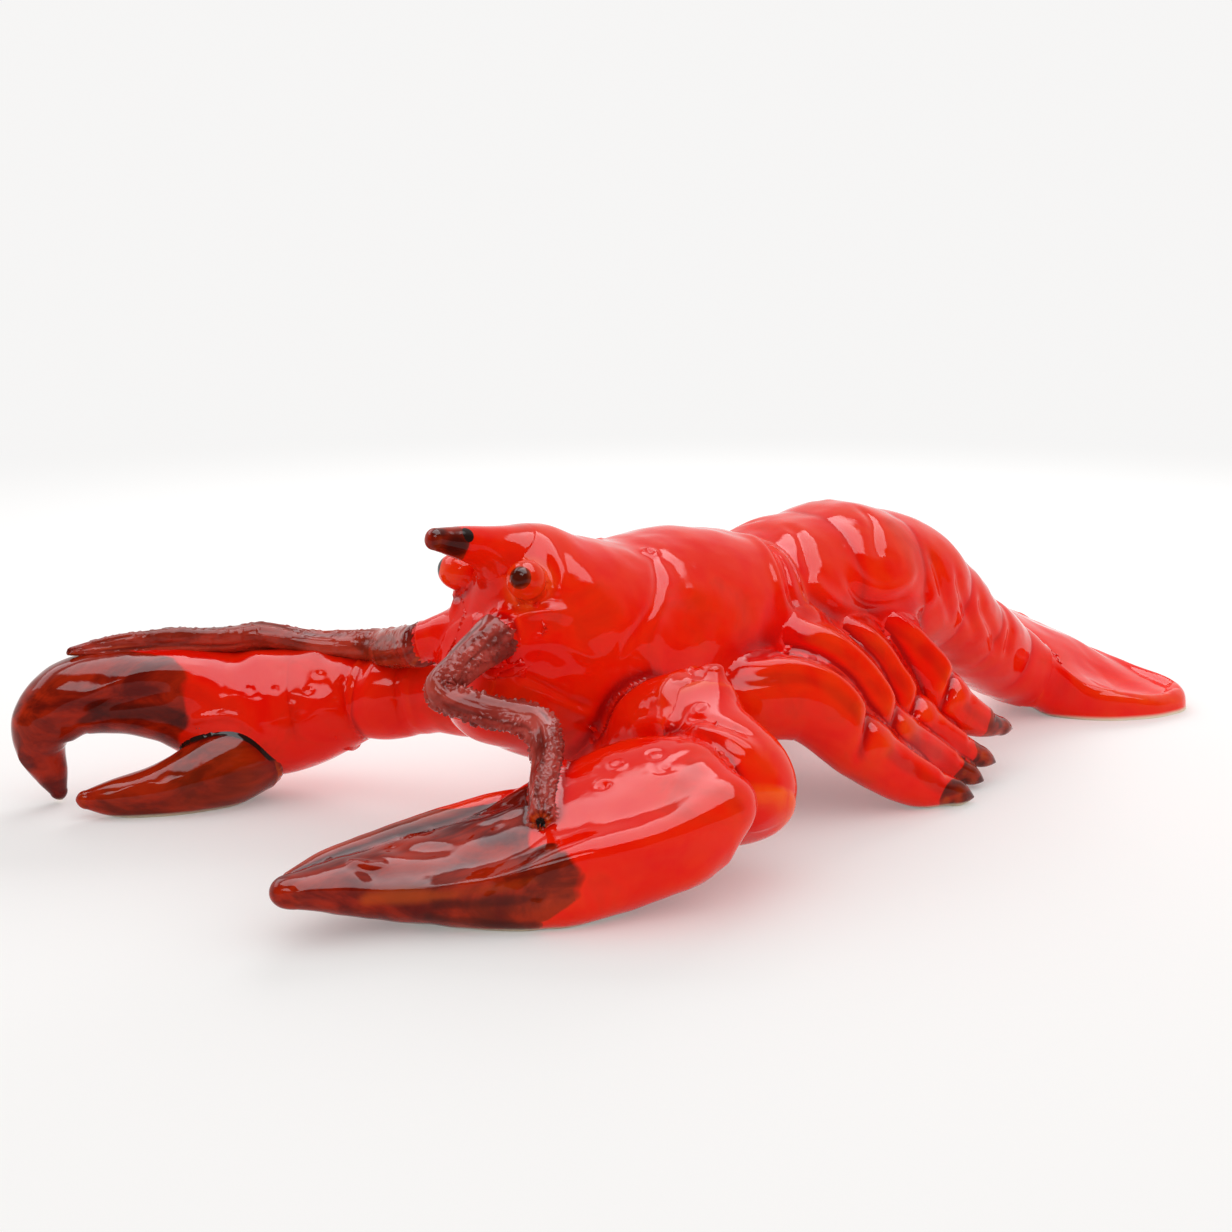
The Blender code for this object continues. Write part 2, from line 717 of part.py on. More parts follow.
def make_body(figure, red):
    carapace = body_rings(carapace_rows(), BODY_SQUARENESS)
    piece = figure.add("carapace", [Loft(carapace, start_dome=BROW_DOME, sides=BODY_SIDES)], red)
    figure.hollow(piece, cavity(carapace, WALL, BROW_CLAY, CARAPACE_WIDTH))
    figure.vent(piece, (0.0, BROW_Y + CARAPACE_LENGTH / 2, RIDGE_HEIGHT / 3), BODY_VENT_DIAMETER)

    abdomen = body_rings(abdomen_rows(), BODY_SQUARENESS)
    piece = figure.add("abdomen", [Loft(abdomen, sides=BODY_SIDES)], red)
    figure.hollow(piece, cavity(abdomen[::-1], WALL, TAIL_CLAY, ABDOMEN_WIDTH))

    root_y = abdomen[-1].centre[1] - LUTING_GAP
    fan_rows = []
    for along, width, top, underside in smooth_rows(FAN_FORM, RING_STEPS):
        y = root_y + along * FAN_LENGTH
        fan_rows.append((y, top * FAN_THICKNESS, y, underside * FAN_THICKNESS, width * FAN_WIDTH / 2))
    fan = Loft(body_rings(fan_rows, FAN_SQUARENESS, FAN_ROLL), end_dome=FAN_EDGE_DOME, sides=BODY_SIDES)
    figure.add("tail_fan", [fan], red, luted_to=["abdomen"], stands=True)


def make_head(figure, red):
    root = (0.0, BROW_Y + ROSTRUM_ROOT_DEPTH, RIDGE_HEIGHT - ROSTRUM_ROOT_DROP)
    tip = (0.0, BROW_Y - ROSTRUM_REACH, RIDGE_HEIGHT + ROSTRUM_TIP_RISE)
    horn = Loft(
        limb_rings(root, tip, ROSTRUM_GIRTH, ROSTRUM_GIRTH, ROSTRUM_FORM),
        end_dome=ROSTRUM_TIP_DOME * ROSTRUM_GIRTH,
        sides=SMALL_SIDES,
    )
    figure.add("rostrum", [horn], red, luted_to=["carapace"])

    routes = {"left": (LEFT_ANTENNA_ROUTE, 1.0), "right": (RIGHT_ANTENNA_ROUTE, -1.0)}
    for side, (route, sign) in routes.items():
        eye = Pellet((sign * EYE_SPACING / 2, BROW_Y + EYE_SETBACK, RIDGE_HEIGHT - EYE_DROP), EYE_DIAMETER)
        figure.add("eye_" + side, [eye], red, luted_to=["carapace", "rostrum"])
        start = (
            sign * ANTENNA_BASE_GIRTH / 2,
            BROW_Y + ANTENNA_BASE_GIRTH,
            ANTENNA_BASE_RISE * RIDGE_HEIGHT,
        )
        end = place(route[0][:3], RIDGE_HEIGHT)
        base = Loft(
            limb_rings(start, end, ANTENNA_BASE_GIRTH, ANTENNA_BASE_GIRTH, ANTENNA_BASE_FORM),
            end_dome=ANTENNA_BASE_DOME * ANTENNA_BASE_GIRTH,
            sides=SMALL_SIDES,
        )
        figure.add("antenna_base_" + side, [base], red, luted_to=["carapace", "rostrum", "eye_" + side])


def make_left_arm(figure, red, brown):
    elbow = place(LEFT_ELBOW, RIDGE_HEIGHT)
    upper_arm = Loft(
        limb_rings(place(LEFT_SHOULDER, RIDGE_HEIGHT), elbow, ARM_GIRTH, ARM_GIRTH, LEFT_ARM_FORM),
        end_dome=LEFT_JOINT_DOME * ARM_GIRTH,
    )
    spine_foot = (elbow[0] - ELBOW_SPINE_GIRTH / 3, elbow[1], elbow[2])
    spine_tip = (elbow[0], elbow[1] + ELBOW_SPINE_GIRTH / 4, elbow[2] + ELBOW_SPINE_RISE)
    spine = upright_rings(spine_foot, spine_tip, [ELBOW_SPINE_GIRTH * share for share in ELBOW_SPINE_GIRTHS])
    figure.add("arm_left", [upper_arm, Loft(spine, sides=SMALL_SIDES)], red, luted_to=["carapace"])

    end = place(LEFT_WRIST, LEFT_CLAW_THICKNESS)
    wrist = Loft(
        limb_rings(elbow, end, LEFT_WRIST_GIRTH, LEFT_WRIST_GIRTH, LEFT_WRIST_FORM),
        end_dome=LEFT_JOINT_DOME * LEFT_WRIST_GIRTH,
    )
    figure.add("wrist_left", [wrist], red, luted_to=["arm_left", "carapace"])

    claw = limb_rings(
        place(LEFT_CLAW_START, LEFT_CLAW_THICKNESS),
        place(LEFT_CLAW_TIP, LEFT_CLAW_THICKNESS),
        LEFT_CLAW_WIDTH,
        LEFT_CLAW_THICKNESS,
        LEFT_CLAW_FORM,
    )
    shell = Loft(
        claw,
        start_dome=LEFT_CLAW_HEEL_DOME * LEFT_CLAW_THICKNESS,
        end_dome=LEFT_CLAW_TIP_DOME * LEFT_CLAW_THICKNESS,
        sides=LEFT_CLAW_SIDES,
    )
    piece = figure.add("claw_left", [shell], brown, luted_to=["wrist_left", "arm_left"], stands=True)
    figure.hollow(piece, cavity(claw[::-1], CLAW_WALL, LEFT_CLAW_WIDTH, WIDEST_CLAW_CAVITY))
    finger = limb_rings(
        place(LEFT_FINGER_START, LEFT_CLAW_THICKNESS),
        place(LEFT_FINGER_TIP, LEFT_CLAW_THICKNESS),
        LEFT_FINGER_WIDTH,
        LEFT_FINGER_THICKNESS,
        LEFT_FINGER_FORM,
    )
    ends = LEFT_FINGER_DOME * LEFT_FINGER_WIDTH
    figure.add(
        "claw_finger_left",
        [Loft(finger, start_dome=ends, end_dome=ends, sides=SMALL_SIDES)],
        brown,
        luted_to=["claw_left"],
    )


def make_right_arm(figure, red, brown):
    elbow = place(RIGHT_ELBOW, RIDGE_HEIGHT)
    wrist_end = place(RIGHT_WRIST, RIDGE_HEIGHT)
    joint = RIGHT_JOINT_DOME * RIGHT_ARM_GIRTH
    arm = limb_rings(
        place(RIGHT_SHOULDER, RIDGE_HEIGHT), elbow, RIGHT_ARM_GIRTH, RIGHT_ARM_GIRTH, RIGHT_ARM_FORM
    )
    figure.add("arm_right", [Loft(arm, end_dome=joint)], red, luted_to=["carapace"])
    wrist = limb_rings(elbow, wrist_end, RIGHT_ARM_GIRTH, RIGHT_ARM_GIRTH, RIGHT_WRIST_FORM)
    figure.add("wrist_right", [Loft(wrist, end_dome=joint)], red, luted_to=["arm_right"])

    claw = limb_rings(
        wrist_end,
        place(RIGHT_CLAW_TIP, RIGHT_CLAW_THICKNESS),
        RIGHT_CLAW_WIDTH,
        RIGHT_CLAW_THICKNESS,
        RIGHT_CLAW_FORM,
    )
    shell = Loft(claw, end_dome=RIGHT_CLAW_TIP_DOME * RIGHT_CLAW_THICKNESS, sides=RIGHT_CLAW_SIDES)
    piece = figure.add("claw_right", [shell], red, luted_to=["wrist_right"], stands=True)
    palm = claw[:PALM_RING_STEPS]
    figure.hollow(piece, cavity(palm[::-1], CLAW_WALL, CLAW_WALL, WIDEST_CLAW_CAVITY))
    finger = limb_rings(
        place(RIGHT_FINGER_START, RIGHT_FINGER_GIRTH),
        place(RIGHT_FINGER_TIP, RIGHT_FINGER_GIRTH),
        RIGHT_FINGER_GIRTH,
        RIGHT_FINGER_GIRTH,
        RIGHT_FINGER_FORM,
    )
    dactyl = Loft(
        finger,
        start_dome=RIGHT_FINGER_HEEL_DOME * RIGHT_FINGER_GIRTH,
        end_dome=RIGHT_FINGER_TIP_DOME * RIGHT_FINGER_GIRTH,
        sides=SMALL_SIDES,
    )
    figure.add("claw_finger_right", [dactyl], brown, luted_to=["claw_right"], stands=True)


def make_legs(figure, red):
    for side, mirror in (("left", 1.0), ("right", -1.0)):
        neighbours = ["carapace", "abdomen", "arm_" + side, "wrist_" + side]
        for number, (root, tip, form) in enumerate(zip(LEG_ROOTS, LEG_TIPS, LEG_FORMS), start=1):
            start = place(root, RIDGE_HEIGHT)
            leg = limb_rings(start, place(tip, LEG_GIRTH), LEG_GIRTH, LEG_GIRTH, form, mirror)
            name = f"leg_{side}_{number}"
            shape = Loft(leg, end_dome=LEG_TIP_DOME * LEG_GIRTH, sides=SMALL_SIDES)
            figure.add(name, [shape], red, luted_to=list(neighbours), stands=True)
            neighbours.append(name)


def make_antennae(figure, brown):
    left = RolledClay(LEFT_ANTENNA_ROUTE, LEFT_ANTENNA_GIRTH)
    figure.add("antenna_left", [left], brown, luted_to=["antenna_base_left", "carapace", "claw_left"])
    right = RolledClay(RIGHT_ANTENNA_ROUTE, RIGHT_ANTENNA_GIRTH)
    figure.add("antenna_right", [right], brown, luted_to=["antenna_base_right", "claw_right", "wrist_right"])


def main():
    clear_scene()
    figure = Figure()
    red = clay("scarlet_glaze", (0.72, 0.012, 0.004), 0.12)
    brown = clay("maroon_glaze", (0.16, 0.006, 0.004), 0.14)
    make_body(figure, red)
    make_head(figure, red)
    make_left_arm(figure, red, brown)
    make_right_arm(figure, red, brown)
    make_legs(figure, red)
    make_antennae(figure, brown)
    figure.centre()


main()
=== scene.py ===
import math

import bpy
import numpy as np
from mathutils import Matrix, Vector
from mathutils.bvhtree import BVHTree


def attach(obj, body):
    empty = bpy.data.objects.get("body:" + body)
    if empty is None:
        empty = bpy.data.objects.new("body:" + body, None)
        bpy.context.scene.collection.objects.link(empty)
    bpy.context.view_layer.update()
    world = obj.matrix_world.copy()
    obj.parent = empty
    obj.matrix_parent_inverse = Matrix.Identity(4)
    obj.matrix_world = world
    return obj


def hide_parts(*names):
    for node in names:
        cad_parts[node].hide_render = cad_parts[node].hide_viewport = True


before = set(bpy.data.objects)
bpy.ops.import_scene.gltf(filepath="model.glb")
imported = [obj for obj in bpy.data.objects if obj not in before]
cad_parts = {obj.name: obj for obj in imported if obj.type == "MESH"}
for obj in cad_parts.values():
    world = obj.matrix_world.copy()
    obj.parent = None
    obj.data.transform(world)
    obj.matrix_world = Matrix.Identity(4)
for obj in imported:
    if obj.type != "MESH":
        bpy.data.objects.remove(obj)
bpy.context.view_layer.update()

# Shapes are worked out in millimetres: x to the lobster's left, y from head to tail, z up.
# Their y starts just behind the eyes; this puts them in the middle of the footprint, as in the CAD.
toFootprint = np.array((16.852, -108.684, 0.0))


# small helpers

def vec(*numbers):
    return np.array(numbers, float)


def unit(v):
    return v / np.linalg.norm(v, axis=-1, keepdims=True)


def ease(x, low, high):
    t = np.clip((x - low) / (high - low), 0.0, 1.0)
    return t * t * (3 - 2 * t)


def randomAt(cell, seed):
    # a number from -1 to 1, always the same for the same cell; the factors only scatter its bits
    h = cell[..., 0] * 73856093 ^ cell[..., 1] * 19349663 ^ cell[..., 2] * 83492791 ^ seed * 2654435
    for shift, factor in ((13, 1274126177), (15, 2246822519)):
        h = (h ^ (h >> shift)) * factor & 0xFFFFFFFF
    return ((h ^ (h >> 16)) & 0xFFFF) / 32767.5 - 1.0


def lumps(points, size, seed):
    # soft hand-pressed unevenness from -1 to 1, with lumps about this many millimetres wide
    p = points / size + 100.0
    cell = np.floor(p).astype(np.int64)
    f = p - cell
    f = f * f * f * (f * (f * 6 - 15) + 10)
    total = 0.0
    for corner in range(8):
        step = np.array((corner & 1, corner >> 1 & 1, corner >> 2 & 1))
        weight = np.prod(np.where(step, f, 1 - f), axis=-1)
        total = total + weight * randomAt(cell + step, seed)
    return total


def smoothRows(rows, steps):
    # a smooth curve through every column of a table
    rows = np.array(rows, float)
    padded = np.vstack((2 * rows[0] - rows[1], rows, 2 * rows[-1] - rows[-2]))
    t = np.arange(steps)[:, None] / steps
    parts = []
    for i in range(len(rows) - 1):
        a, b, c, d = padded[i:i + 4]
        bend = (2 * a - 5 * b + 4 * c - d) * t**2 + (3 * b - a - 3 * c + d) * t**3
        parts.append(0.5 * (2 * b + (c - a) * t + bend))
    return np.vstack(parts + [rows[-1:]])


def mirrored(place, mirror):
    return tuple(vec(*place) * vec(mirror, 1, 1))


# sections: each ring is centre, side, up, half width, half height

def bodyRings(rows, roll=0.0):
    rows = np.array(rows)
    turn = math.radians(roll)
    back = np.stack((0 * rows[:, 0], rows[:, 0], rows[:, 1]), 1)
    belly = np.stack((0 * rows[:, 0], rows[:, 2], rows[:, 3]), 1)
    height = np.linalg.norm(back - belly, axis=1)
    side = np.tile(vec(math.cos(turn), 0, -math.sin(turn)), (len(rows), 1))
    return (back + belly) / 2, side, (back - belly) / height[:, None], rows[:, 4], height / 2


def limbRings(part, steps, mirror=1):
    # a part is as thick as it is wide and a row stands upright, unless they say otherwise
    start, line = vec(*part["start"]), vec(*part["tip"]) - vec(*part["start"])
    width, thickness = part["width"], part.get("thickness", part["width"])
    side = unit(np.cross(line, vec(0, 0, 1)))
    up = unit(np.cross(side, line))
    rows = smoothRows([tuple(row) + (0,) * (6 - len(row)) for row in part["form"]], steps)
    path = start + rows[:, :1] * line + rows[:, 1:2] * width * side + rows[:, 2:3] * thickness * up
    ahead = unit(np.gradient(path, axis=0))
    ownUp = unit(np.cross(side, ahead))
    ownSide = unit(np.cross(ahead, ownUp))
    roll = np.radians(rows[:, 5:6])
    rolledSide = ownSide * np.cos(roll) + ownUp * np.sin(roll)
    rolledUp = ownUp * np.cos(roll) - ownSide * np.sin(roll)
    flip = vec(mirror, 1, 1)
    return path * flip, rolledSide * flip, rolledUp * flip, rows[:, 3] * width / 2, rows[:, 4] * thickness / 2


def routeRings(route, girth, steps):
    # a hand-rolled length of clay: places, each with a share of the girth and a flatness
    rows = smoothRows(route, steps)
    path = rows[:, :3]
    ahead = unit(np.gradient(path, axis=0))
    side = [unit(np.cross(ahead[0], vec(0.1, 0.2, 1)))]
    for direction in ahead[1:]:
        side.append(unit(side[-1] - direction * np.dot(side[-1], direction)))
    side = np.array(side)
    up = np.cross(side, ahead)
    return path, side, up, rows[:, 3] * girth / 2, rows[:, 3] * rows[:, 4] * girth / 2


def roundedEnds(rings, startReach, endReach, point=1.0, steps=9, lastAngle=86):
    # rings that close both ends; a higher point makes the far end sharper
    centre, side, up, halfWidth, halfHeight = rings
    rising = np.radians(np.linspace(0, lastAngle, steps + 1)[1:])
    rows = [rings]
    for end, reach, angles in ((0, startReach, rising[::-1]), (-1, endReach, rising)):
        outward = unit(centre[end] - centre[1 if end == 0 else -2])
        taper = np.cos(angles) ** (point if end else 1.0)
        extra = (
            centre[end] + outward * reach * np.sin(angles)[:, None],
            np.tile(side[end], (steps, 1)),
            np.tile(up[end], (steps, 1)),
            halfWidth[end] * taper,
            halfHeight[end] * taper,
        )
        rows = [extra] + rows if end == 0 else rows + [extra]
    return tuple(np.concatenate([row[k] for row in rows]) for k in range(5))


class Skin:
    # a closed skin over rings, with everything that is later pressed into it or painted on it
    def __init__(self, rings, startReach, endReach, around, squareness=2.2, point=1.0):
        centre, side, up, halfWidth, halfHeight = roundedEnds(rings, startReach, endReach, point)
        dense = np.linspace(0, 2 * math.pi, 721)  # every half degree, spread out evenly below
        across = np.copysign(np.abs(np.cos(dense)) ** (2 / squareness), np.cos(dense))
        upward = np.copysign(np.abs(np.sin(dense)) ** (2 / squareness), np.sin(dense))
        loops = []
        for k in range(len(centre)):
            x, y = across * halfWidth[k], upward * halfHeight[k]
            run = np.concatenate(([0.0], np.cumsum(np.hypot(np.diff(x), np.diff(y)))))
            at = np.linspace(0, run[-1], around, endpoint=False)
            loops.append(centre[k] + np.interp(at, run, x)[:, None] * side[k]
                         + np.interp(at, run, y)[:, None] * up[k])
        self.rows, self.around = len(loops), around
        self.along = np.repeat(np.linspace(0, 1, self.rows), around)
        grid = np.arange(self.rows * around).reshape(self.rows, around)
        ahead = np.roll(grid, -1, axis=1)
        self.quads = np.stack((grid[:-1], ahead[:-1], ahead[1:], grid[1:]), -1).reshape(-1, 4)
        poles = np.array((self.rows * around, self.rows * around + 1))
        poleReach = 0.003  # the closing point stands this share of an end's reach outside its last ring
        outer = [unit(centre[0] - centre[1]) * poleReach * startReach + centre[0],
                 unit(centre[-1] - centre[-2]) * poleReach * endReach + centre[-1]]
        self.tris = np.concatenate((
            np.stack((np.full(around, poles[0]), ahead[0], grid[0]), -1),
            np.stack((np.full(around, poles[1]), grid[-1], ahead[-1]), -1)))
        self.points = np.vstack((np.concatenate(loops), outer))
        self.along = np.concatenate((self.along, (0.0, 1.0)))
        if self.volume() < 0:
            self.quads, self.tris = self.quads[:, ::-1], self.tris[:, ::-1]
        self.paint = {}

    def volume(self):
        a, b, c, d = (self.points[self.quads[:, k]] for k in range(4))
        return np.einsum("ij,ij->", np.cross(c - a, d - b), (a + b + c + d) / 24)

    def normals(self):
        total = np.zeros_like(self.points)
        for faces in (self.quads, self.tris):
            corners = self.points[faces]
            facing = np.cross(corners[:, -2] - corners[:, 0], corners[:, -1] - corners[:, 1])
            for corner in faces.T:
                for axis in range(3):
                    total[:, axis] += np.bincount(corner, facing[:, axis], len(total))
        return total / (np.linalg.norm(total, axis=1, keepdims=True) + 1e-12)

    def push(self, distance):
        self.points = self.points + self.normals() * distance[:, None]

    def smoothed(self, values, times):
        # averages over the grid of rings
        flat = values.reshape(len(values), -1)
        grid = flat[:-2].reshape(self.rows, self.around, -1).copy()
        for _ in range(times):
            sides = (np.roll(grid, 1, 1) + np.roll(grid, -1, 1)) / 2
            rows = np.pad(grid, ((1, 1), (0, 0), (0, 0)), mode="edge")
            grid = (sides + (rows[:-2] + rows[2:]) / 2) / 2
        out = flat.copy()
        out[:-2] = grid.reshape(-1, flat.shape[1])
        return out.reshape(values.shape)


def distanceTo(points, path):
    # distance to a line through a few places, and how far along it the nearest spot is
    path = smoothRows(path, 4) if len(path) > 2 else np.array(path, float)
    best = np.full(len(points), 1e9)
    where = np.zeros(len(points))
    for k in range(len(path) - 1):
        step = path[k + 1] - path[k]
        t = np.clip(((points - path[k]) @ step) / (step @ step), 0, 1)
        gap = np.linalg.norm(points - path[k] - t[:, None] * step, axis=1)
        closer = gap < best
        best = np.where(closer, gap, best)
        where = np.where(closer, (k + t) / (len(path) - 1), where)
    return best, where


def gapTo(skin, place, stretch=(1, 1, 1)):
    # distance from every point to one place
    return np.linalg.norm((skin.points - vec(*place)) * vec(*stretch), axis=1)


def within(gap, outer, inner):
    # 1 nearer than the inner distance, fading to 0 at the outer one
    return ease(-gap, -outer, -inner)


tool = {"fade": 0.22, "ridgeFade": 0.05, "ringWidth": 0.35}


def press(skin, marks):
    # tool marks: kind, width, height (negative goes in), then the places the tool passes
    for kind, width, height, *places in marks:
        fade = 1.0
        if len(places) == 1:
            gap = gapTo(skin, places[0])
        else:
            gap, where = distanceTo(skin.points, places)
            ends = tool["ridgeFade"] if kind == "ridge" else tool["fade"]
            fade = ease(where, -0.02, ends) * ease(-where, -1.02, ends - 1)
        if kind == "soft":
            shape = np.exp(-(gap / width) ** 2)
        elif kind == "ring":
            shape = np.exp(-((gap - width) / (tool["ringWidth"] * width)) ** 2)
        else:
            shape = np.exp(-gap / width)
        skin.push(height * fade * shape)


slip = {
    "reach": 20.0, "missed": 60.0,  # how far a casting is looked for, and the distance where none is found
    "passes": 4, "steepest": 0.35, "longestStep": 2.0, "highest": 7.0, "jump": 0.7, "averaging": 4,
}


def away(other, points, spots):
    # signed distance from some of the points to another casting, and the direction in which it grows
    gap = np.full(len(points), slip["missed"])
    grow = np.zeros((len(points), 3))
    for i in spots:
        point = Vector(points[i])
        spot, facing, _, length = other.tree.find_nearest(point, slip["reach"])
        if spot is not None:
            side = 1.0 if (point - spot).dot(facing) >= 0 else -1.0
            gap[i] = side * length
            grow[i] = (point - spot) * (side / length) if length > 1e-4 else facing
    return gap, grow


def lute(name):
    # slip and glaze round off the corner where castings meet: the skin rises to the common surface
    skin = skins[name]
    base, normal = skin.points, skin.normals()
    rise = np.zeros(len(base))
    nearest = np.full(len(base), slip["missed"])
    partners = []
    for (a, b), radius in joints.items():
        # a palm keeps its own shape under its finger
        if name not in (a, b) or (name == a and b.startswith("claw_finger")):
            continue
        other = skins[b if a == name else a]
        low, high = other.baseBox
        inBox = np.all((base > low - radius - 1) & (base < high + radius + 1), axis=1)
        gap, _ = away(other, base, np.nonzero(inBox)[0])
        nearest = np.minimum(nearest, gap)
        spots = np.nonzero((gap < radius + 1) & (gap > -0.6 * radius - 2))[0]  # the band that slip can reach
        partners.append((other, radius, spots))
    for _ in range(slip["passes"]):
        points = base + normal * rise[:, None]
        field, slope = rise.copy(), np.ones(len(base))
        closest = np.full(len(base), slip["missed"])
        for other, radius, spots in partners:
            gap, grow = away(other, points, spots)
            closest = np.minimum(closest, gap)
            steepness = np.einsum("ij,ij->i", grow, normal)
            overlap = np.clip(radius - np.abs(field - gap), 0, None) / radius
            share = np.where(field < gap, overlap / 2, 1 - overlap / 2)
            field = np.minimum(field, gap) - overlap**2 * radius / 4
            slope = slope * (1 - share) + steepness * share
        missed = closest == slip["missed"]
        step = np.clip(field / np.maximum(slope, slip["steepest"]), -slip["longestStep"], slip["longestStep"])
        rise = np.clip(rise - np.where(missed & (nearest < 0), 0, step), 0, slip["highest"])
    calm = skin.smoothed(rise, slip["averaging"])
    rise = np.where(np.abs(rise - calm) > slip["jump"], calm, rise)
    skin.points = base + normal * rise[:, None]
    skin.rise = rise
    skin.closest = np.where(missed, nearest, closest)
    skin.buried = rise - skin.closest


glazeFlow = {
    "averaging": 14, "strength": 1.5, "thin": 0.8,
    "thinOn": {"leg": 0.48, "arm_left": 0.2, "elbow_spine": 0.2, "wrist_left": 0.6, "arm_right": 0.3,
               "wrist_right": 0.1, "claw_right": 0.15},
}


def glazeDepth(skin):
    # glaze runs thin over raised edges and collects in hollows
    inward = skin.points - skin.smoothed(skin.points, glazeFlow["averaging"])
    curve = np.einsum("ij,ij->i", inward, skin.normals()) * glazeFlow["strength"]
    clear = ease(-skin.buried, -1.0, 0.6) * ease(np.minimum(skin.along, 1 - skin.along), 0.02, 0.09)
    kind = "leg" if skin.name.startswith("leg") else skin.name
    share = glazeFlow["thinOn"].get(kind, glazeFlow["thin"])
    skin.paint["thin"] = np.clip(curve, 0, None) * clear * share
    skin.paint["deep"] = np.clip(-curve, 0, None) * clear


def brush(skin, key, amount):
    skin.paint[key] = np.maximum(skin.paint.get(key, np.zeros(len(skin.points))), amount)


def showPiece(name, skin, finish, node):
    mesh = bpy.data.meshes.new(name)
    points = (skin.points + toFootprint) * 0.001
    mesh.from_pydata(points.tolist(), [], skin.quads.tolist() + skin.tris.tolist())
    mesh.polygons.foreach_set("use_smooth", [True] * len(mesh.polygons))
    count = len(points)
    zero = np.zeros(count)
    for title, keys in (("glazePaint", ("brown", "thin", "deep")), ("glazeAccent", ("ink", "bare", "tint"))):
        layer = mesh.attributes.new(title, "FLOAT_COLOR", "POINT")
        values = np.stack([np.clip(skin.paint.get(k, zero), 0, 1) for k in keys] + [np.ones(count)], 1)
        layer.data.foreach_set("color", values.astype(np.float32).ravel())
    mesh.materials.append(finish)
    piece = bpy.data.objects.new(name, mesh)
    bpy.context.scene.collection.objects.link(piece)
    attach(piece, "root")
    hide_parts(node)
    return piece


# glazes

scarletGlaze = {
    "name": "scarletGlaze", "light": (0.88, 0.016, 0.002), "body": (0.83, 0.003, 0.0),
    "deep": (0.42, 0.004, 0.003), "thin": (0.95, 0.11, 0.008), "roughness": 0.04, "gloss": 0.17,
}
maroonGlaze = dict(scarletGlaze, name="maroonGlaze")
brushedBrown = {
    "dark": (0.115, 0.004, 0.002), "warm": (0.40, 0.018, 0.003), "amber": (0.62, 0.085, 0.006),
    "poolAndShade": (0.030, 0.003, 0.002), "rosyDark": (0.30, 0.030, 0.022), "rosyWarm": (0.50, 0.085, 0.07),
}
inkColour = (0.018, 0.008, 0.006)
clayColour = (0.80, 0.72, 0.55)
glazeNoise = {  # scale per metre, detail, roughness, distortion
    "cloud": (42, 4, 0.55, 0.6), "mottle": (110, 2, 0.5, 0.5), "streak": (85, 4, 0.6, 0.5),
    "ripple": (230, 2, 0.5, 0),
}
glazeLook = {  # pairs are where a noise or a painted channel begins and ends to show
    "drawnOut": (1, 0.22, 1), "patches": (0.35, 0.65), "pools": (0.5, 0.72), "poolDepth": 0.38,
    "glow": (0.3, 0.62, 0.35, 1), "brushMarks": (0.36, 0.66), "amberShare": 0.9, "poolAndShadeShare": 0.8,
    "brownEdge": (0.35, 0.62), "brownRagged": 0.5, "inkEdge": (0.35, 0.65), "inkRagged": 0.4,
    "bareEdge": (0.2, 0.8), "bareRoughness": 0.75, "refraction": 1.47,
    "rippleShare": 0.1, "rippleDepth": 0.0006,
}


def feed(tree, socket, value):
    # a socket takes another node's output, a number, a direction or a colour
    if isinstance(value, bpy.types.NodeSocket):
        tree.links.new(value, socket)
    else:
        socket.default_value = tuple(value) + (1,) if socket.type == "RGBA" else value


def addNode(tree, kind, inputs=(), **settings):
    node = tree.nodes.new("ShaderNode" + kind)
    for title, value in settings.items():
        setattr(node, title, value)
    for title, value in dict(inputs).items():
        feed(tree, node.inputs[title], value)
    return node


def mixNode(tree, factor, first, second):
    mix = addNode(tree, "Mix", {0: factor, 6: first, 7: second}, data_type="RGBA", clamp_factor=True)
    return mix.outputs[2]


def mathNode(tree, kind, *values):
    return addNode(tree, "Math", enumerate(values), operation=kind).outputs[0]


def noiseNode(tree, coords, settings):
    inputs = dict(zip(("Scale", "Detail", "Roughness", "Distortion"), settings), Vector=coords)
    return addNode(tree, "TexNoise", inputs).outputs["Fac"]


def rangeNode(tree, value, low, high, toLow=0.0, toHigh=1.0):
    inputs = {"Value": value, "From Min": low, "From Max": high, "To Min": toLow, "To Max": toHigh}
    return addNode(tree, "MapRange", inputs, interpolation_type="SMOOTHSTEP").outputs["Result"]


def paintChannels(tree, title):
    read = addNode(tree, "Attribute", attribute_name=title)
    return addNode(tree, "SeparateColor", {"Color": read.outputs["Color"]}).outputs[:3]


def raggedEdge(tree, channel, mottle, amount):
    shift = mathNode(tree, "MULTIPLY", mathNode(tree, "SUBTRACT", mottle, 0.5), amount)
    return mathNode(tree, "ADD", channel, shift)


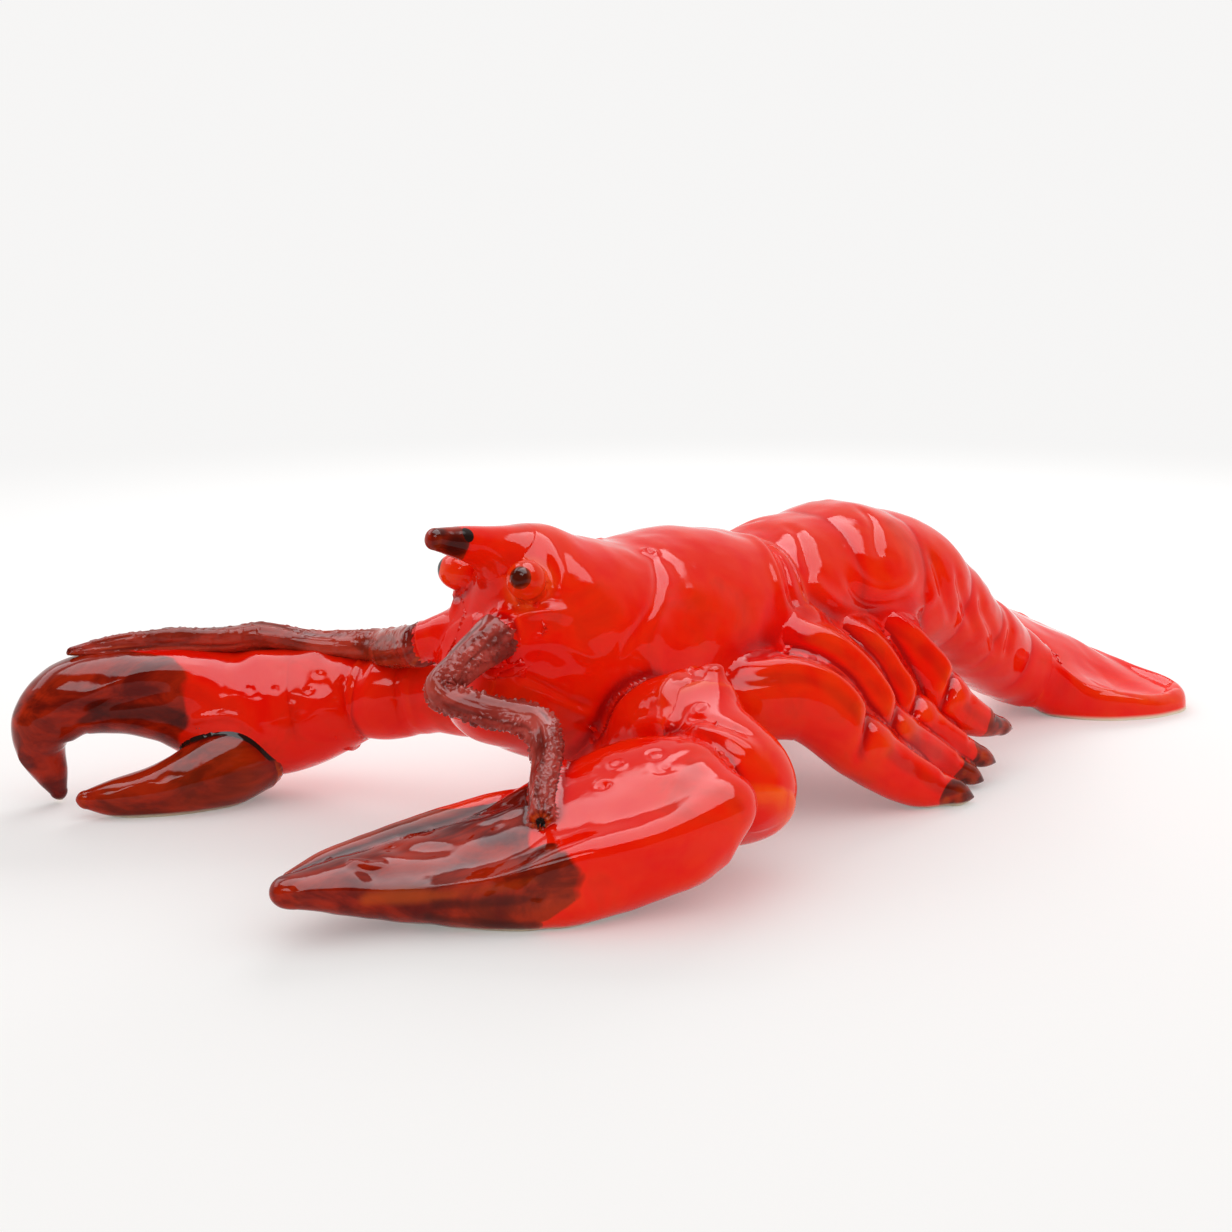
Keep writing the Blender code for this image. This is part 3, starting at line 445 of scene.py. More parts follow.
def makeGlaze(glaze):
    # the glaze clouds and pools by itself; brown, ink, bare clay and edges come from the painted channels,
    # and the deep channel holds pooled glaze and also painted shade
    look = glazeLook
    material = bpy.data.materials.new(glaze["name"])
    material.use_nodes = True
    tree = material.node_tree
    coords = addNode(tree, "TexCoord").outputs["Object"]
    drawn = addNode(tree, "VectorMath", {0: coords, 1: look["drawnOut"]}, operation="MULTIPLY").outputs[0]
    brown, thin, deep = paintChannels(tree, "glazePaint")
    ink, bare, tint = paintChannels(tree, "glazeAccent")
    cloud = noiseNode(tree, coords, glazeNoise["cloud"])
    mottle = noiseNode(tree, coords, glazeNoise["mottle"])
    streak = rangeNode(tree, noiseNode(tree, drawn, glazeNoise["streak"]), *look["brushMarks"])

    base = mixNode(tree, rangeNode(tree, cloud, *look["patches"]), glaze["body"], glaze["light"])
    pooled = mathNode(tree, "MULTIPLY", rangeNode(tree, cloud, *look["pools"]), look["poolDepth"])
    base = mixNode(tree, mathNode(tree, "ADD", deep, pooled), base, glaze["deep"])
    glow = mathNode(tree, "MULTIPLY", thin, rangeNode(tree, mottle, *look["glow"]))
    base = mixNode(tree, glow, base, glaze["thin"])

    umber = mixNode(tree, streak, brushedBrown["dark"], brushedBrown["warm"])
    umber = mixNode(tree, mathNode(tree, "MULTIPLY", thin, look["amberShare"]), umber, brushedBrown["amber"])
    rosy = mixNode(tree, streak, brushedBrown["rosyDark"], brushedBrown["rosyWarm"])
    umber = mixNode(tree, tint, umber, rosy)
    # the deep channel darkens the brown: pooled glaze, and painted shade where it is brushed in
    umber = mixNode(tree, mathNode(tree, "MULTIPLY", deep, look["poolAndShadeShare"]), umber, brushedBrown["poolAndShade"])
    edge = raggedEdge(tree, brown, mottle, look["brownRagged"])
    base = mixNode(tree, rangeNode(tree, edge, *look["brownEdge"]), base, umber)
    edge = raggedEdge(tree, ink, mottle, look["inkRagged"])
    base = mixNode(tree, rangeNode(tree, edge, *look["inkEdge"]), base, inkColour)

    ripple = noiseNode(tree, coords, glazeNoise["ripple"])
    bump = {"Height": ripple, "Strength": look["rippleShare"], "Distance": look["rippleDepth"]}
    finish = {
        "Base Color": mixNode(tree, bare, base, clayColour),
        "Roughness": rangeNode(tree, bare, *look["bareEdge"], glaze["roughness"], look["bareRoughness"]),
        "IOR": look["refraction"], "Specular IOR Level": glaze["gloss"],
        "Normal": addNode(tree, "Bump", bump).outputs["Normal"],
    }
    for title, value in finish.items():
        feed(tree, tree.nodes["Principled BSDF"].inputs[title], value)
    return material


glazes = {"scarlet_glaze": makeGlaze(scarletGlaze), "maroon_glaze": makeGlaze(maroonGlaze)}
skins = {}
print("glazes mixed")


def addSkin(name, skin):
    faces = skin.quads.tolist() + skin.tris.tolist()
    skin.tree = BVHTree.FromPolygons([Vector(point) for point in skin.points], faces)
    skin.baseBox = (skin.points.min(0), skin.points.max(0))
    skin.name = name
    skins[name] = skin
    return skin


# carapace: back y, back z, belly y, belly z, half width

carapace = {
    "brow": -14, "length": 127.5, "belly": 13, "height": 87.5, "width": 76,
    "squareness": 2.3,
    "form": (
        (0.06, 0.72, -0.015, 0.33, 0.4), (0.105, 0.855, 0.04, 0.245, 0.58), (0.18, 0.962, 0.125, 0.19, 0.74),
        (0.251, 1, 0.22, 0.125, 0.84), (0.376, 0.966, 0.345, 0.057, 0.93), (0.514, 0.92, 0.47, 0.023, 0.985),
        (0.604, 0.929, 0.55, 0.011, 1), (0.737, 0.935, 0.675, 0, 1), (0.878, 0.912, 0.8, 0, 0.975),
        (1, 0.863, 0.902, 0.011, 0.93),
    ),
}


def carapaceRows():
    c = carapace
    return [(c["brow"] + a * c["length"], c["belly"] + b * c["height"],
             c["brow"] + d * c["length"], c["belly"] + e * c["height"], w * c["width"] / 2)
            for a, b, d, e, w in c["form"]]


addSkin("carapace", Skin(bodyRings(smoothRows(carapaceRows(), 20)), 3, 6, 280, carapace["squareness"]))

abdomen = {
    "seam": 113.5, "length": 152, "hump": 95.1, "width": 68, "segments": 6, "relief": 1.4,
    "form": (
        (0.103, 0.972, 0.072, 0.23, 0.98), (0.27, 1, 0.224, 0.315, 1), (0.41, 0.974, 0.349, 0.368, 0.97),
        (0.555, 0.88, 0.467, 0.389, 0.91), (0.668, 0.728, 0.566, 0.347, 0.83),
        (0.773, 0.588, 0.658, 0.263, 0.74), (0.878, 0.472, 0.77, 0.179, 0.63),
        (0.96, 0.379, 0.875, 0.095, 0.54), (1, 0.326, 0.945, 0.063, 0.5),
    ),
}


def makeAbdomen():
    a = abdomen
    rows = [tuple(np.array(carapaceRows()[-1]) + vec(0.33, 0, 0.33, 0, 0))]
    for back, backRise, belly, bellyRise, width in a["form"]:
        rows.append((a["seam"] + back * a["length"], backRise * a["hump"],
                     a["seam"] + belly * a["length"], bellyRise * a["hump"], width * a["width"] / 2))
    smooth = smoothRows(rows, 22)
    along = np.linspace(0, 1, len(smooth))
    wave = (np.abs(np.sin(math.pi * a["segments"] * along)) - 0.5) * np.minimum(1, 8 * along)
    smooth[:, 1] += a["relief"] * wave
    smooth[:, 4] += a["relief"] * wave
    return Skin(bodyRings(smooth), 4, 3, 260, 2.3)


addSkin("abdomen", makeAbdomen())

tailFan = {
    "root": 259, "length": 71, "width": 88, "thickness": 30, "roll": 4.5, "squareness": 4.5,
    "farRise": 10.5, "nearDrop": 9, "full": 20, "rim": (3, 8.5), "sink": 2.4,
    "lobes": 11, "lobeDepth": 0.7, "lobeCentre": 35,
    "form": (
        (0, 0.36, 0.93, 0.2), (0.12, 0.51, 0.95, 0.03), (0.3, 0.79, 0.9, -0.2), (0.5, 0.95, 0.76, -0.25),
        (0.7, 1, 0.6, -0.25), (0.83, 0.94, 0.48, -0.25), (0.94, 0.77, 0.4, -0.25), (0.985, 0.6, 0.36, -0.25),
    ),
}


def makeFan():
    f = tailFan
    rows = []
    for along, width, top, under in smoothRows(f["form"], 20):
        y = f["root"] + along * f["length"]
        rows.append((y, top * f["thickness"], y, under * f["thickness"], width * f["width"] / 2))
    return Skin(bodyRings(rows, f["roll"]), 3, 1.5, 260, f["squareness"])


addSkin("tail_fan", makeFan())
print("body shaped")

# limbs: along, to the side, rise, width, thickness and, where it isn't 0, roll in degrees

leftClaw = {
    "start": (88, 17, 28), "tip": (47, -118, 13), "width": 62, "thickness": 34,
    "form": (
        (0, 0, 0.04, 0.64, 0.84, 14), (0.05, 0, 0.05, 0.85, 1, 16), (0.14, 0.01, 0, 0.98, 1.08, 18),
        (0.28, 0.01, -0.1, 0.97, 1.02, 19), (0.41, 0.02, -0.18, 0.92, 0.87, 18),
        (0.55, 0.06, -0.2, 0.76, 0.74, 16), (0.71, 0.1, -0.13, 0.52, 0.63, 13),
        (0.84, 0.08, -0.05, 0.33, 0.48, 10), (0.95, 0.04, 0.03, 0.18, 0.31, 6),
    ),
}
leftFinger = {
    "start": (51.8, -25.6, 23.8), "tip": (39.9, -111.6, 14), "width": 14, "thickness": 17,
    "form": (
        (0, 0, 0, 0.86, 0.94), (0.17, 0.22, 0.03, 1, 1), (0.37, 0.4, -0.03, 1, 1),
        (0.57, 0.45, -0.06, 0.89, 0.94), (0.78, 0.34, -0.04, 0.71, 0.82), (0.95, 0.04, -0.01, 0.43, 0.53),
    ),
}
rightClaw = {
    "start": (-70, -3, 35), "tip": (-130, -92, 3), "width": 46, "thickness": 40,
    "form": (
        (0, 0.02, 0, 0.53, 0.62), (0.05, 0.07, 0.01, 0.73, 0.83), (0.21, 0.19, 0.02, 0.96, 1.02),
        (0.35, 0.19, 0.1, 1, 1.07), (0.47, 0.15, 0.3, 0.89, 0.99), (0.59, 0.08, 0.54, 0.7, 0.84),
        (0.73, 0.02, 0.71, 0.62, 0.74), (0.86, -0.02, 0.78, 0.56, 0.69), (0.96, -0.03, 0.66, 0.51, 0.6),
        (1, -0.01, 0.46, 0.41, 0.45), (1, 0, 0.2, 0.26, 0.29), (1, 0.01, 0.03, 0.13, 0.15),
    ),
}
rightFinger = {
    "start": (-94, -40.3, 16.6), "tip": (-107, -97, 7), "width": 31.5,
    "form": (
        (-0.03, 0.01, -0.01, 0.93, 1), (0.16, -0.14, -0.07, 0.88, 0.9), (0.37, -0.2, -0.1, 0.7, 0.72),
        (0.6, -0.16, -0.1, 0.53, 0.54), (0.82, -0.09, -0.06, 0.37, 0.38), (0.96, -0.02, -0.02, 0.18, 0.2),
    ),
}
leftArm = {
    "start": (14, 30, 32), "tip": (62, 35, 46), "width": 36,
    "form": (
        (0, 0, -0.18, 0.72, 0.7), (0.36, 0.02, -0.24, 0.78, 0.74), (0.69, 0.06, -0.07, 0.96, 0.96),
        (0.96, 0.03, 0.02, 0.84, 0.86),
    ),
}
leftWrist = {
    "start": (62, 35, 46), "tip": (87, 24, 24.5), "width": 38,
    "form": (
        (-0.06, 0, 0, 0.6, 0.64), (0.25, -0.01, 0.02, 0.74, 0.76), (0.55, -0.04, 0.03, 0.92, 0.92),
        (0.85, -0.09, 0.02, 1, 1), (1.1, -0.09, 0, 0.9, 0.88),
    ),
}
rightArm = {
    "start": (-14, 20, 42), "tip": (-52, 11, 37), "width": 30,
    "form": (
        (0, 0, 0, 1, 1), (0.52, 0.06, 0, 1, 1), (1, 0, 0, 0.9, 0.9),
    ),
}
rightWrist = {
    "start": (-52, 11, 37), "tip": (-70, -3, 35), "width": 30,
    "form": (
        (-0.05, 0, 0, 0.83, 0.83), (0.37, 0.04, -0.02, 1, 1), (0.8, 0, -0.01, 1, 1),
        (1.06, 0, 0.02, 0.8, 0.8),
    ),
}


def limb(part, steps, startReach, endReach, around, mirror=1, point=1.0):
    return Skin(limbRings(part, steps, mirror), startReach, endReach, around, point=point)


elbowSpine = {"foot": (57, 35, 46), "tip": (62.5, 39, 61.5), "girths": (31, 22, 14, 7.5)}


def makeSpine():
    e = elbowSpine
    count = len(e["girths"])
    rows = [tuple(vec(*e["foot"]) + (vec(*e["tip"]) - vec(*e["foot"])) * k / (count - 1)) + (girth / 2,)
            for k, girth in enumerate(e["girths"])]
    rows = smoothRows(rows, 22)
    level = np.tile(vec(1, 0, 0), (len(rows), 1)), np.tile(vec(0, 1, 0), (len(rows), 1))
    return Skin((rows[:, :3], *level, rows[:, 3], rows[:, 3] * 0.8), 2, 2.0, 110, 2.4)


# each has its steps between rows, the reach of its rounded ends and its points around
addSkin("claw_left", limb(leftClaw, 26, 2, 7.5, 280))
addSkin("claw_finger_left", limb(leftFinger, 22, 3.5, 3.5, 90))
addSkin("claw_right", limb(rightClaw, 16, 4, 3.4, 220, point=1.3))
addSkin("claw_finger_right", limb(rightFinger, 22, 4, 3.4, 150, point=1.3))
addSkin("arm_left", limb(leftArm, 26, 3, 6, 160))
addSkin("wrist_left", limb(leftWrist, 14, 3, 6.3, 160))
addSkin("elbow_spine", makeSpine())
addSkin("arm_right", limb(rightArm, 20, 3, 3.75, 120))
addSkin("wrist_right", limb(rightWrist, 12, 3, 3.75, 120))

walkingLegs = {
    "girth": 30, "knees": (0.56, 0.56, 0.58, 0.58), "rootReach": 3, "tipReach": 9, "point": 2.1,
    "detail": {"left": (26, 120), "right": (16, 80)},
    "roots": ((13, 70, 38), (13, 95, 46), (10.8, 122, 45.4), (11.6, 146.4, 45.6)),
    "tips": ((73, 151, 2), (66, 166, 4), (62.8, 173, 7.4), (54.6, 193.4, 14.6)),
    "forms": (
        ((0, 0, 0, 0.93, 1), (0.17, 0.52, 0.33, 0.88, 0.94),
         (0.36, 0.52, 0.54, 0.87, 0.95), (0.58, 0.49, 0.21, 0.7, 0.72),
         (0.79, 0.27, 0, 0.61, 0.59), (0.93, 0.18, 0.01, 0.35, 0.33)),
        ((0, 0, 0, 0.87, 0.93), (0.16, 0.34, 0.42, 0.95, 1.07),
         (0.36, 0.42, 0.32, 0.94, 1.06), (0.58, 0.51, 0.08, 0.62, 0.66),
         (0.79, 0.14, 0, 0.44, 0.46), (0.93, 0.02, -0.02, 0.27, 0.26)),
        ((0, 0, 0, 0.8, 0.87), (0.21, 0.22, 0.38, 0.9, 0.97),
         (0.42, 0.3, 0.24, 0.78, 0.83), (0.62, 0.36, 0.08, 0.57, 0.63),
         (0.8, 0.2, 0.03, 0.43, 0.46), (0.94, 0.01, 0.03, 0.27, 0.26)),
        ((0, 0, 0, 0.8, 0.8), (0.19, 0.28, 0.31, 0.8, 0.87),
         (0.42, 0.39, 0.23, 0.7, 0.75), (0.62, 0.46, 0.04, 0.6, 0.62),
         (0.81, 0.27, -0.01, 0.41, 0.41), (0.94, 0.02, 0, 0.27, 0.25)),
    ),
}


kneeFold = {
    "width": 0.022, "depth": 2.6, "behind": 0.075, "swellWidth": 0.045, "swell": 1.3,
    "facing": (0.35, -0.3, 0.9),
}
legCrease = {
    "first": 0.12, "last": 0.9, "toKnee": 0.03, "fromKnee": 0.05, "upperHeight": 1.9, "lowerHeight": 1.2,
    "toCamera": (0.735, -0.678, 0), "turned": 0.55, "below": (3.2, -3, -3.4),
    "crest": (2.7, 0.95), "hollow": (2.4, -0.15),
}


def stationsOn(part, points):
    # how far along the limb's straight line each point is
    line = vec(*part["tip"]) - vec(*part["start"])
    return (points - vec(*part["start"])) @ line / (line @ line)


def bendKnee(skin, part, knee):
    # a tight fold on top of the knee, and the swelling of the lower leg behind it
    k = kneeFold
    station = stationsOn(part, skin.points)
    top = ease(skin.normals() @ unit(vec(*k["facing"])), 0.0, 0.9)
    fold = np.exp(-((station - knee) / k["width"]) ** 2) * k["depth"]
    swell = np.exp(-((station - knee - k["behind"]) / k["swellWidth"]) ** 2) * k["swell"]
    skin.push((swell - fold) * top)
    return skin


def crest(part, mirror, low, high):
    # a line along the top of a limb between two stations
    middle, _, up, _, half = limbRings(part, 4)
    station = stationsOn(part, middle)
    toward = unit(up + legCrease["turned"] * vec(*legCrease["toCamera"]))
    rows = (middle + toward * half[:, None])[(station > low) & (station < high)]
    return [mirrored(row, mirror) for row in rows]


def creasesOn(part, mirror, knee):
    # a raised line on the upper and one on the lower leg, each with the hollow in front of it and below
    c = legCrease
    below = mirrored(c["below"], mirror)
    creases = []
    for low, high, height in ((c["first"], knee - c["toKnee"], c["upperHeight"]),
                              (knee + c["fromKnee"], c["last"], c["lowerHeight"])):
        line = crest(part, mirror, low, high)
        creases.append((line, [tuple(vec(*place) + below) for place in line], height))
    return creases


legCreases = {}
legMarks = {"left": [], "right": []}
for side, mirror in (("left", 1), ("right", -1)):
    for number, knee in enumerate(walkingLegs["knees"]):
        name = f"leg_{side}_{number + 1}"
        part = {"start": walkingLegs["roots"][number], "tip": walkingLegs["tips"][number],
                "width": walkingLegs["girth"], "form": walkingLegs["forms"][number]}
        steps, around = walkingLegs["detail"][side]
        skin = limb(part, steps, walkingLegs["rootReach"], walkingLegs["tipReach"], around, mirror,
                    walkingLegs["point"])
        flipped = dict(part, start=mirrored(part["start"], mirror), tip=mirrored(part["tip"], mirror))
        addSkin(name, bendKnee(skin, flipped, knee))
        legCreases[name] = creasesOn(part, mirror, knee)
        for line, hollow, height in legCreases[name]:
            for (width, share), places in ((legCrease["crest"], line), (legCrease["hollow"], hollow)):
                legMarks[side].append(("soft", width, share * height, *places))
print("limbs shaped")

horn = {
    "start": (0, 17, 90.9), "tip": (0, -27, 103.5), "width": 15.5,
    "form": ((0, 0, 0, 1, 1), (0.35, 0, 0.04, 0.95, 0.95),
             (0.6, 0, 0.04, 0.8, 0.8), (0.8, 0, 0.02, 0.6, 0.6),
             (0.93, 0, 0, 0.46, 0.46)),
}
eyes = {"spacing": 35, "y": -1, "z": 88.8, "diameter": 13.2, "farStretch": 1.35, "farDrop": 2.2}
antennaBase = {
    "start": (8.75, 3.5, 63.3), "width": 17.5,
    "form": ((0, 0, 0, 1, 1), (0.5, 0, 0.14, 0.95, 1.02),
             (0.94, 0, 0.08, 0.72, 0.76)),
}
leftAntenna = {
    "girth": 11.4,
    "route": ((14, -9.5, 71.5, 1.25, 1.1), (14.5, -24, 64.5, 1.04, 0.95), (16.6, -34.8, 57.4, 0.95, 1),
              (27, -26.5, 51.8, 0.9, 0.9), (39, -14.5, 47.8, 0.92, 1), (51, -19, 42, 0.88, 0.95),
              (65, -31.8, 35.2, 0.82, 1), (75.4, -41.6, 30.2, 0.72, 0.9)),
}
rightAntenna = {
    "girth": 12,
    "route": ((-30, -8.5, 61, 1.12, 1.1), (-53, -3, 55, 1, 1.05), (-68, -1, 52.8, 0.92, 1.05),
              (-84, -14, 53, 0.72, 1.05), (-98, -27, 55.4, 0.76, 1.1), (-104, -40, 55.2, 0.66, 1.05),
              (-111, -56, 56, 0.66, 1.1), (-118, -71, 55.5, 0.56, 1.1), (-125.5, -87, 54, 0.26, 1)),
}


def ballSkin(centre, diameter, around, squash=1.0):
    angles = np.radians(np.linspace(-88, 88, around))
    count = len(angles)
    centres = vec(*centre) + np.stack((np.sin(angles) * diameter / 2 * squash, 0 * angles, 0 * angles), 1)
    half = np.cos(angles) * diameter / 2
    rings = (centres, np.tile(vec(0, 1, 0), (count, 1)), np.tile(vec(0, 0, 1), (count, 1)), half, half)
    return Skin(rings, 0.02, 0.02, around * 2, 2.0)


addSkin("rostrum", limb(horn, 30, 2, 3.1, 120))
for side, sign, antenna in (("left", 1, leftAntenna), ("right", -1, rightAntenna)):
    stretch, drop = (1.0, 0.0) if side == "left" else (eyes["farStretch"], eyes["farDrop"])
    centre = sign * (eyes["spacing"] / 2 + 2 * (stretch - 1)), eyes["y"], eyes["z"] - drop
    addSkin("eye_" + side, ballSkin(centre, eyes["diameter"], 48, stretch))
    base = dict(antennaBase, start=mirrored(antennaBase["start"], sign), tip=antenna["route"][0][:3])
    addSkin("antenna_base_" + side, limb(base, 30, 2, 1.75, 110))
addSkin("antenna_left", Skin(routeRings(leftAntenna["route"], leftAntenna["girth"], 46), 2, 2, 88))
addSkin("antenna_right", Skin(routeRings(rightAntenna["route"], rightAntenna["girth"], 36), 2, 2, 72))
print("head fittings shaped")

joints = {
    ("carapace", "rostrum"): 14, ("carapace", "antenna_base_left"): 5, ("carapace", "antenna_base_right"): 5,
    ("carapace", "eye_left"): 3, ("carapace", "eye_right"): 3, ("rostrum", "eye_left"): 3,
    ("carapace", "arm_left"): 4.5, ("carapace", "arm_right"): 8, ("carapace", "abdomen"): 1.2,
    ("abdomen", "tail_fan"): 8, ("arm_left", "wrist_left"): 6, ("wrist_left", "claw_left"): 4,
    ("claw_left", "claw_finger_left"): 0.8, ("arm_right", "wrist_right"): 4, ("wrist_right", "claw_right"): 5,
    ("claw_right", "claw_finger_right"): 1, ("antenna_left", "antenna_base_left"): 2.5,
    ("antenna_right", "antenna_base_right"): 3, ("antenna_left", "claw_left"): 1.5,
    ("arm_left", "elbow_spine"): 7, ("wrist_left", "elbow_spine"): 7,
}
for side in ("left", "right"):
    for number in range(1, 5):
        leg = f"leg_{side}_{number}"
        joints["carapace", leg] = 9
        joints["abdomen", leg] = 8
        if number > 1:
            joints[f"leg_{side}_{number - 1}", leg] = 1.2

for name in skins:
    lute(name)
print("castings luted together")

maroonPieces = ("claw_left", "claw_finger_left", "claw_finger_right", "antenna_left", "antenna_right")

# tool marks, in the order they are pressed: kind, width, height, places

clawMarks = (
    ("soft", 8, 3.6, (105.5, 7, 30)),
    ("ridge", 3, 3, (50.5, -115, 16.5), (54.5, -106, 16.3), (66, -85.5, 15), (78.1, -66.5, 15.8),
     (85.3, -53, 18.2), (93.8, -37.8, 21.6), (101.3, -24.1, 24.3), (105.7, -10.9, 27.8), (105, 7.7, 31.5),
     (99, 16, 34)),
    ("soft", 6, -1.6, (55, -98, 18), (61.8, -83.8, 19), (72.8, -62.8, 21), (84.4, -41.9, 25.1)),
    ("soft", 6.5, 3.4, (80, -62, 17), (93.8, -37.8, 22.6), (101.3, -24.1, 25.8), (105.7, -10.9, 29),
     (105, 7.7, 32.5), (98, 22, 34)),
    ("soft", 5, -1.2, (79.9, -68.4, 10.2), (93.4, -49.2, 12.2), (101.5, -33.1, 14.5), (107.8, -15.1, 18.5),
     (106.6, 6.1, 23.9)),
    ("soft", 1.8, 1.3, (51, -96, 20.5), (54.7, -90.5, 21.1), (59, -84, 21.6)),
    ("soft", 4.5, -1, (47.6, -78.2, 23.5), (56, -76, 23), (66, -62, 24)),
    ("soft", 3, 0.9, (50, -60, 28), (58, -52, 28.5), (66, -38, 31.5)),
    ("soft", 1.5, -1.2, (80.6, -21.6, 37.9)), ("ring", 2.6, 0.2, (80.6, -21.6, 37.9)),
    ("soft", 1.1, -0.6, (89.9, -4.9, 41.8)), ("ring", 2.4, -0.35, (82.5, -2.4, 44)),
    ("ring", 2.2, 0.25, (77, -13, 41.8)), ("soft", 1, -0.4, (77, -13, 41.8)),
    ("soft", 0.9, -0.6, (84.1, -6.7, 42.8), (90, -8, 40.8), (93, -3, 40.8), (97.3, -8.7, 37.3),
     (99, -14, 32.5), (102.2, -18.6, 27)),
)
wristMarks = (
    ("soft", 3, 2.2, (50, 14, 42), (56, 17, 46.5), (63, 19, 47.5), (70, 16, 46)),
    ("soft", 3.2, 2.6, (74, 18, 48), (80.8, 18, 47.5), (86.9, 20.5, 46.5), (93, 24, 43.5),
     (98, 27.5, 39)),
    ("soft", 1.6, -1.3, (71, 20, 50), (79, 23, 50), (87, 26, 48), (93, 31, 44)),
    ("ring", 2, 0.35, (73, 25, 52.5)), ("soft", 1.2, -0.4, (73, 25, 52.5)),
    ("soft", 5, 1, (102, 24, 24), (99, 27, 15)),
)
bodyMarks = (
    ("soft", 2, 1, (5.6, 8.6, 98.8), (10.2, 12.8, 97.6), (17.9, 11.6, 93.6), (21.4, 10.7, 88.9),
     (23.5, 8.6, 85.5), (26, 11.3, 83)),
    ("soft", 2.4, 1.4, (15.5, -10, 74), (16.9, -3, 77.2), (20.4, 0.3, 78.9), (25, 6.5, 79),
     (27.5, 10, 75)),
    ("soft", 2.6, -1.2, (13, -6, 81), (19, 3, 82), (24, 9, 81)),
    ("soft", 2, 0.7, (19.5, -9.3, 69.3), (25.6, 2.3, 69.7), (29.3, 9.6, 66.6), (31.8, 18, 60.9)),
    ("soft", 1.7, -1.2, (19.4, -7.2, 60.1), (25.3, 0.3, 54.8), (28.4, 10.3, 49.1), (33, 16.6, 45)),
    ("soft", 1.7, -1.2, (19, -5, 54.3), (23, 3, 48), (26, 12.5, 42), (30, 20, 38)),
    ("soft", 1.5, 0.8, (20, -5, 57.3), (25, 3, 51.5), (28, 12, 45.5), (32, 18, 42)),
    ("soft", 1.6, -0.9, (14.3, 55.2, 90.9), (20.5, 51, 88), (26, 47.2, 84.4), (31.7, 40.9, 77.7),
     (33.6, 34.9, 73), (34.6, 27, 66.5), (34.4, 24, 61)),
    ("soft", 2.4, 0.6, (18, 56, 89.5), (28.5, 51, 83), (34, 44, 76), (35.5, 36, 69)),
    ("ring", 2.2, 0.6, (14.3, 54.6, 91.2)), ("soft", 1, -0.5, (14.3, 54.6, 91.2)),
    ("soft", 2.6, 1.3, (0, 109, 92), (11.2, 106, 89.5), (19, 103, 86), (28.5, 99.5, 79.5),
     (33.5, 98, 71), (36, 98, 62)),
    ("soft", 1.5, -1.4, (0, 114.5, 89.5), (11.2, 112, 88.5), (20, 108.5, 84.5), (29.5, 105, 77),
     (34, 103.5, 69), (36.5, 103.5, 60)),
    ("soft", 2.6, 1.1, (22.8, 117.1, 82.4), (30.5, 119.5, 72.5), (33.5, 131, 64.5), (34, 146, 61.5),
     (33.5, 160, 61), (32.5, 175, 61.7), (31.3, 174, 71.3)),
    ("soft", 2.4, 1, (26, 136.4, 81), (31, 140, 73), (33.6, 149.1, 69.2), (33.5, 160, 71),
     (30, 168, 76)),
    ("soft", 2, -0.9, (29, 130, 78), (33.5, 138, 67.5), (34.5, 151, 65), (34, 163, 66.5)),
    ("soft", 2.4, -1.4, (26, 177, 81), (31.5, 180.1, 70.5), (31.8, 182.9, 60.9), (27.8, 190.6, 48.8)),
    ("soft", 2.4, -1.3, (27, 189, 74), (31, 191.9, 64.1), (28.4, 199.5, 53.7), (25.5, 209, 40.5)),
    ("soft", 2.4, -1.3, (24, 205, 62), (28, 209.6, 52.3), (25.4, 218.1, 41.9), (23, 224.7, 32.8)),
    ("soft", 2.2, -1, (4, 127, 92), (15.3, 124.4, 88.3), (23.5, 119.4, 82.2), (30.3, 115.7, 73)),
    ("soft", 2.2, -1, (5, 160, 95), (17.9, 157.1, 91.6), (26.6, 150.8, 84.3), (30, 150, 79.4)),
    ("soft", 2.4, -1.6, (0, 232, 56), (14, 231, 50), (23.5, 229.6, 38), (22.8, 228, 30.2)),
)
rightClawMarks = (
    ("soft", 9, 4.2, (-78, -10, 54), (-88, -24, 54), (-97, -40, 54)),
    ("sharp", 2.2, 1.6, (-95, -50, 49), (-101.1, -61.3, 47.8), (-105.7, -72.3, 46.9), (-110.9, -85.1, 42.7),
     (-118.7, -96.3, 36), (-126.1, -104.2, 27), (-131.2, -105.1, 17.3), (-129, -100, 10)),
    ("soft", 3, -1.6, (-97.5, -62.5, 41.6), (-102, -70.9, 40.3), (-109, -82.5, 37.3), (-116.5, -92, 32.2)),
    ("soft", 2, 1.8, (-119.5, -96.5, 31.5)),
    ("sharp", 1.6, 1.2, (-84, -50, 27), (-89.2, -67.5, 21.1), (-91, -78.3, 15.6), (-97, -90.5, 9.5)),
    ("soft", 0.8, 0.5, (-55.9, -5.1, 46.6), (-54.1, -0.1, 47.6), (-51, -1.5, 44.1), (-52.5, -4.7, 42.6)),
    ("soft", 1.5, 1.2, (-96, -60.5, 30), (-91.5, -55.9, 32), (-84.7, -47.7, 32), (-77.7, -38.3, 23)),
    *(("soft", 1.3, -0.7, place) for place in (
        (-89.6, -34.3, 46.5), (-84, -29.7, 45.4), (-84.4, -21.2, 48.4), (-73.3, -20.3, 44.8),
        (-76, -31.2, 37.1), (-73.3, -24.6, 40.1), (-84.8, -41.6, 40.7), (-66.8, -18.8, 36.8),
        (-66.4, -14.6, 43.4), (-80, -34.6, 40.4), (-73.1, -29.1, 32), (-84.9, -8.2, 50),
        (-84.7, -14.7, 49.1))),
)
bodyMarks += tuple((kind, width, height, *(mirrored(place, -1) for place in places))
                   for kind, width, height, *places in bodyMarks)
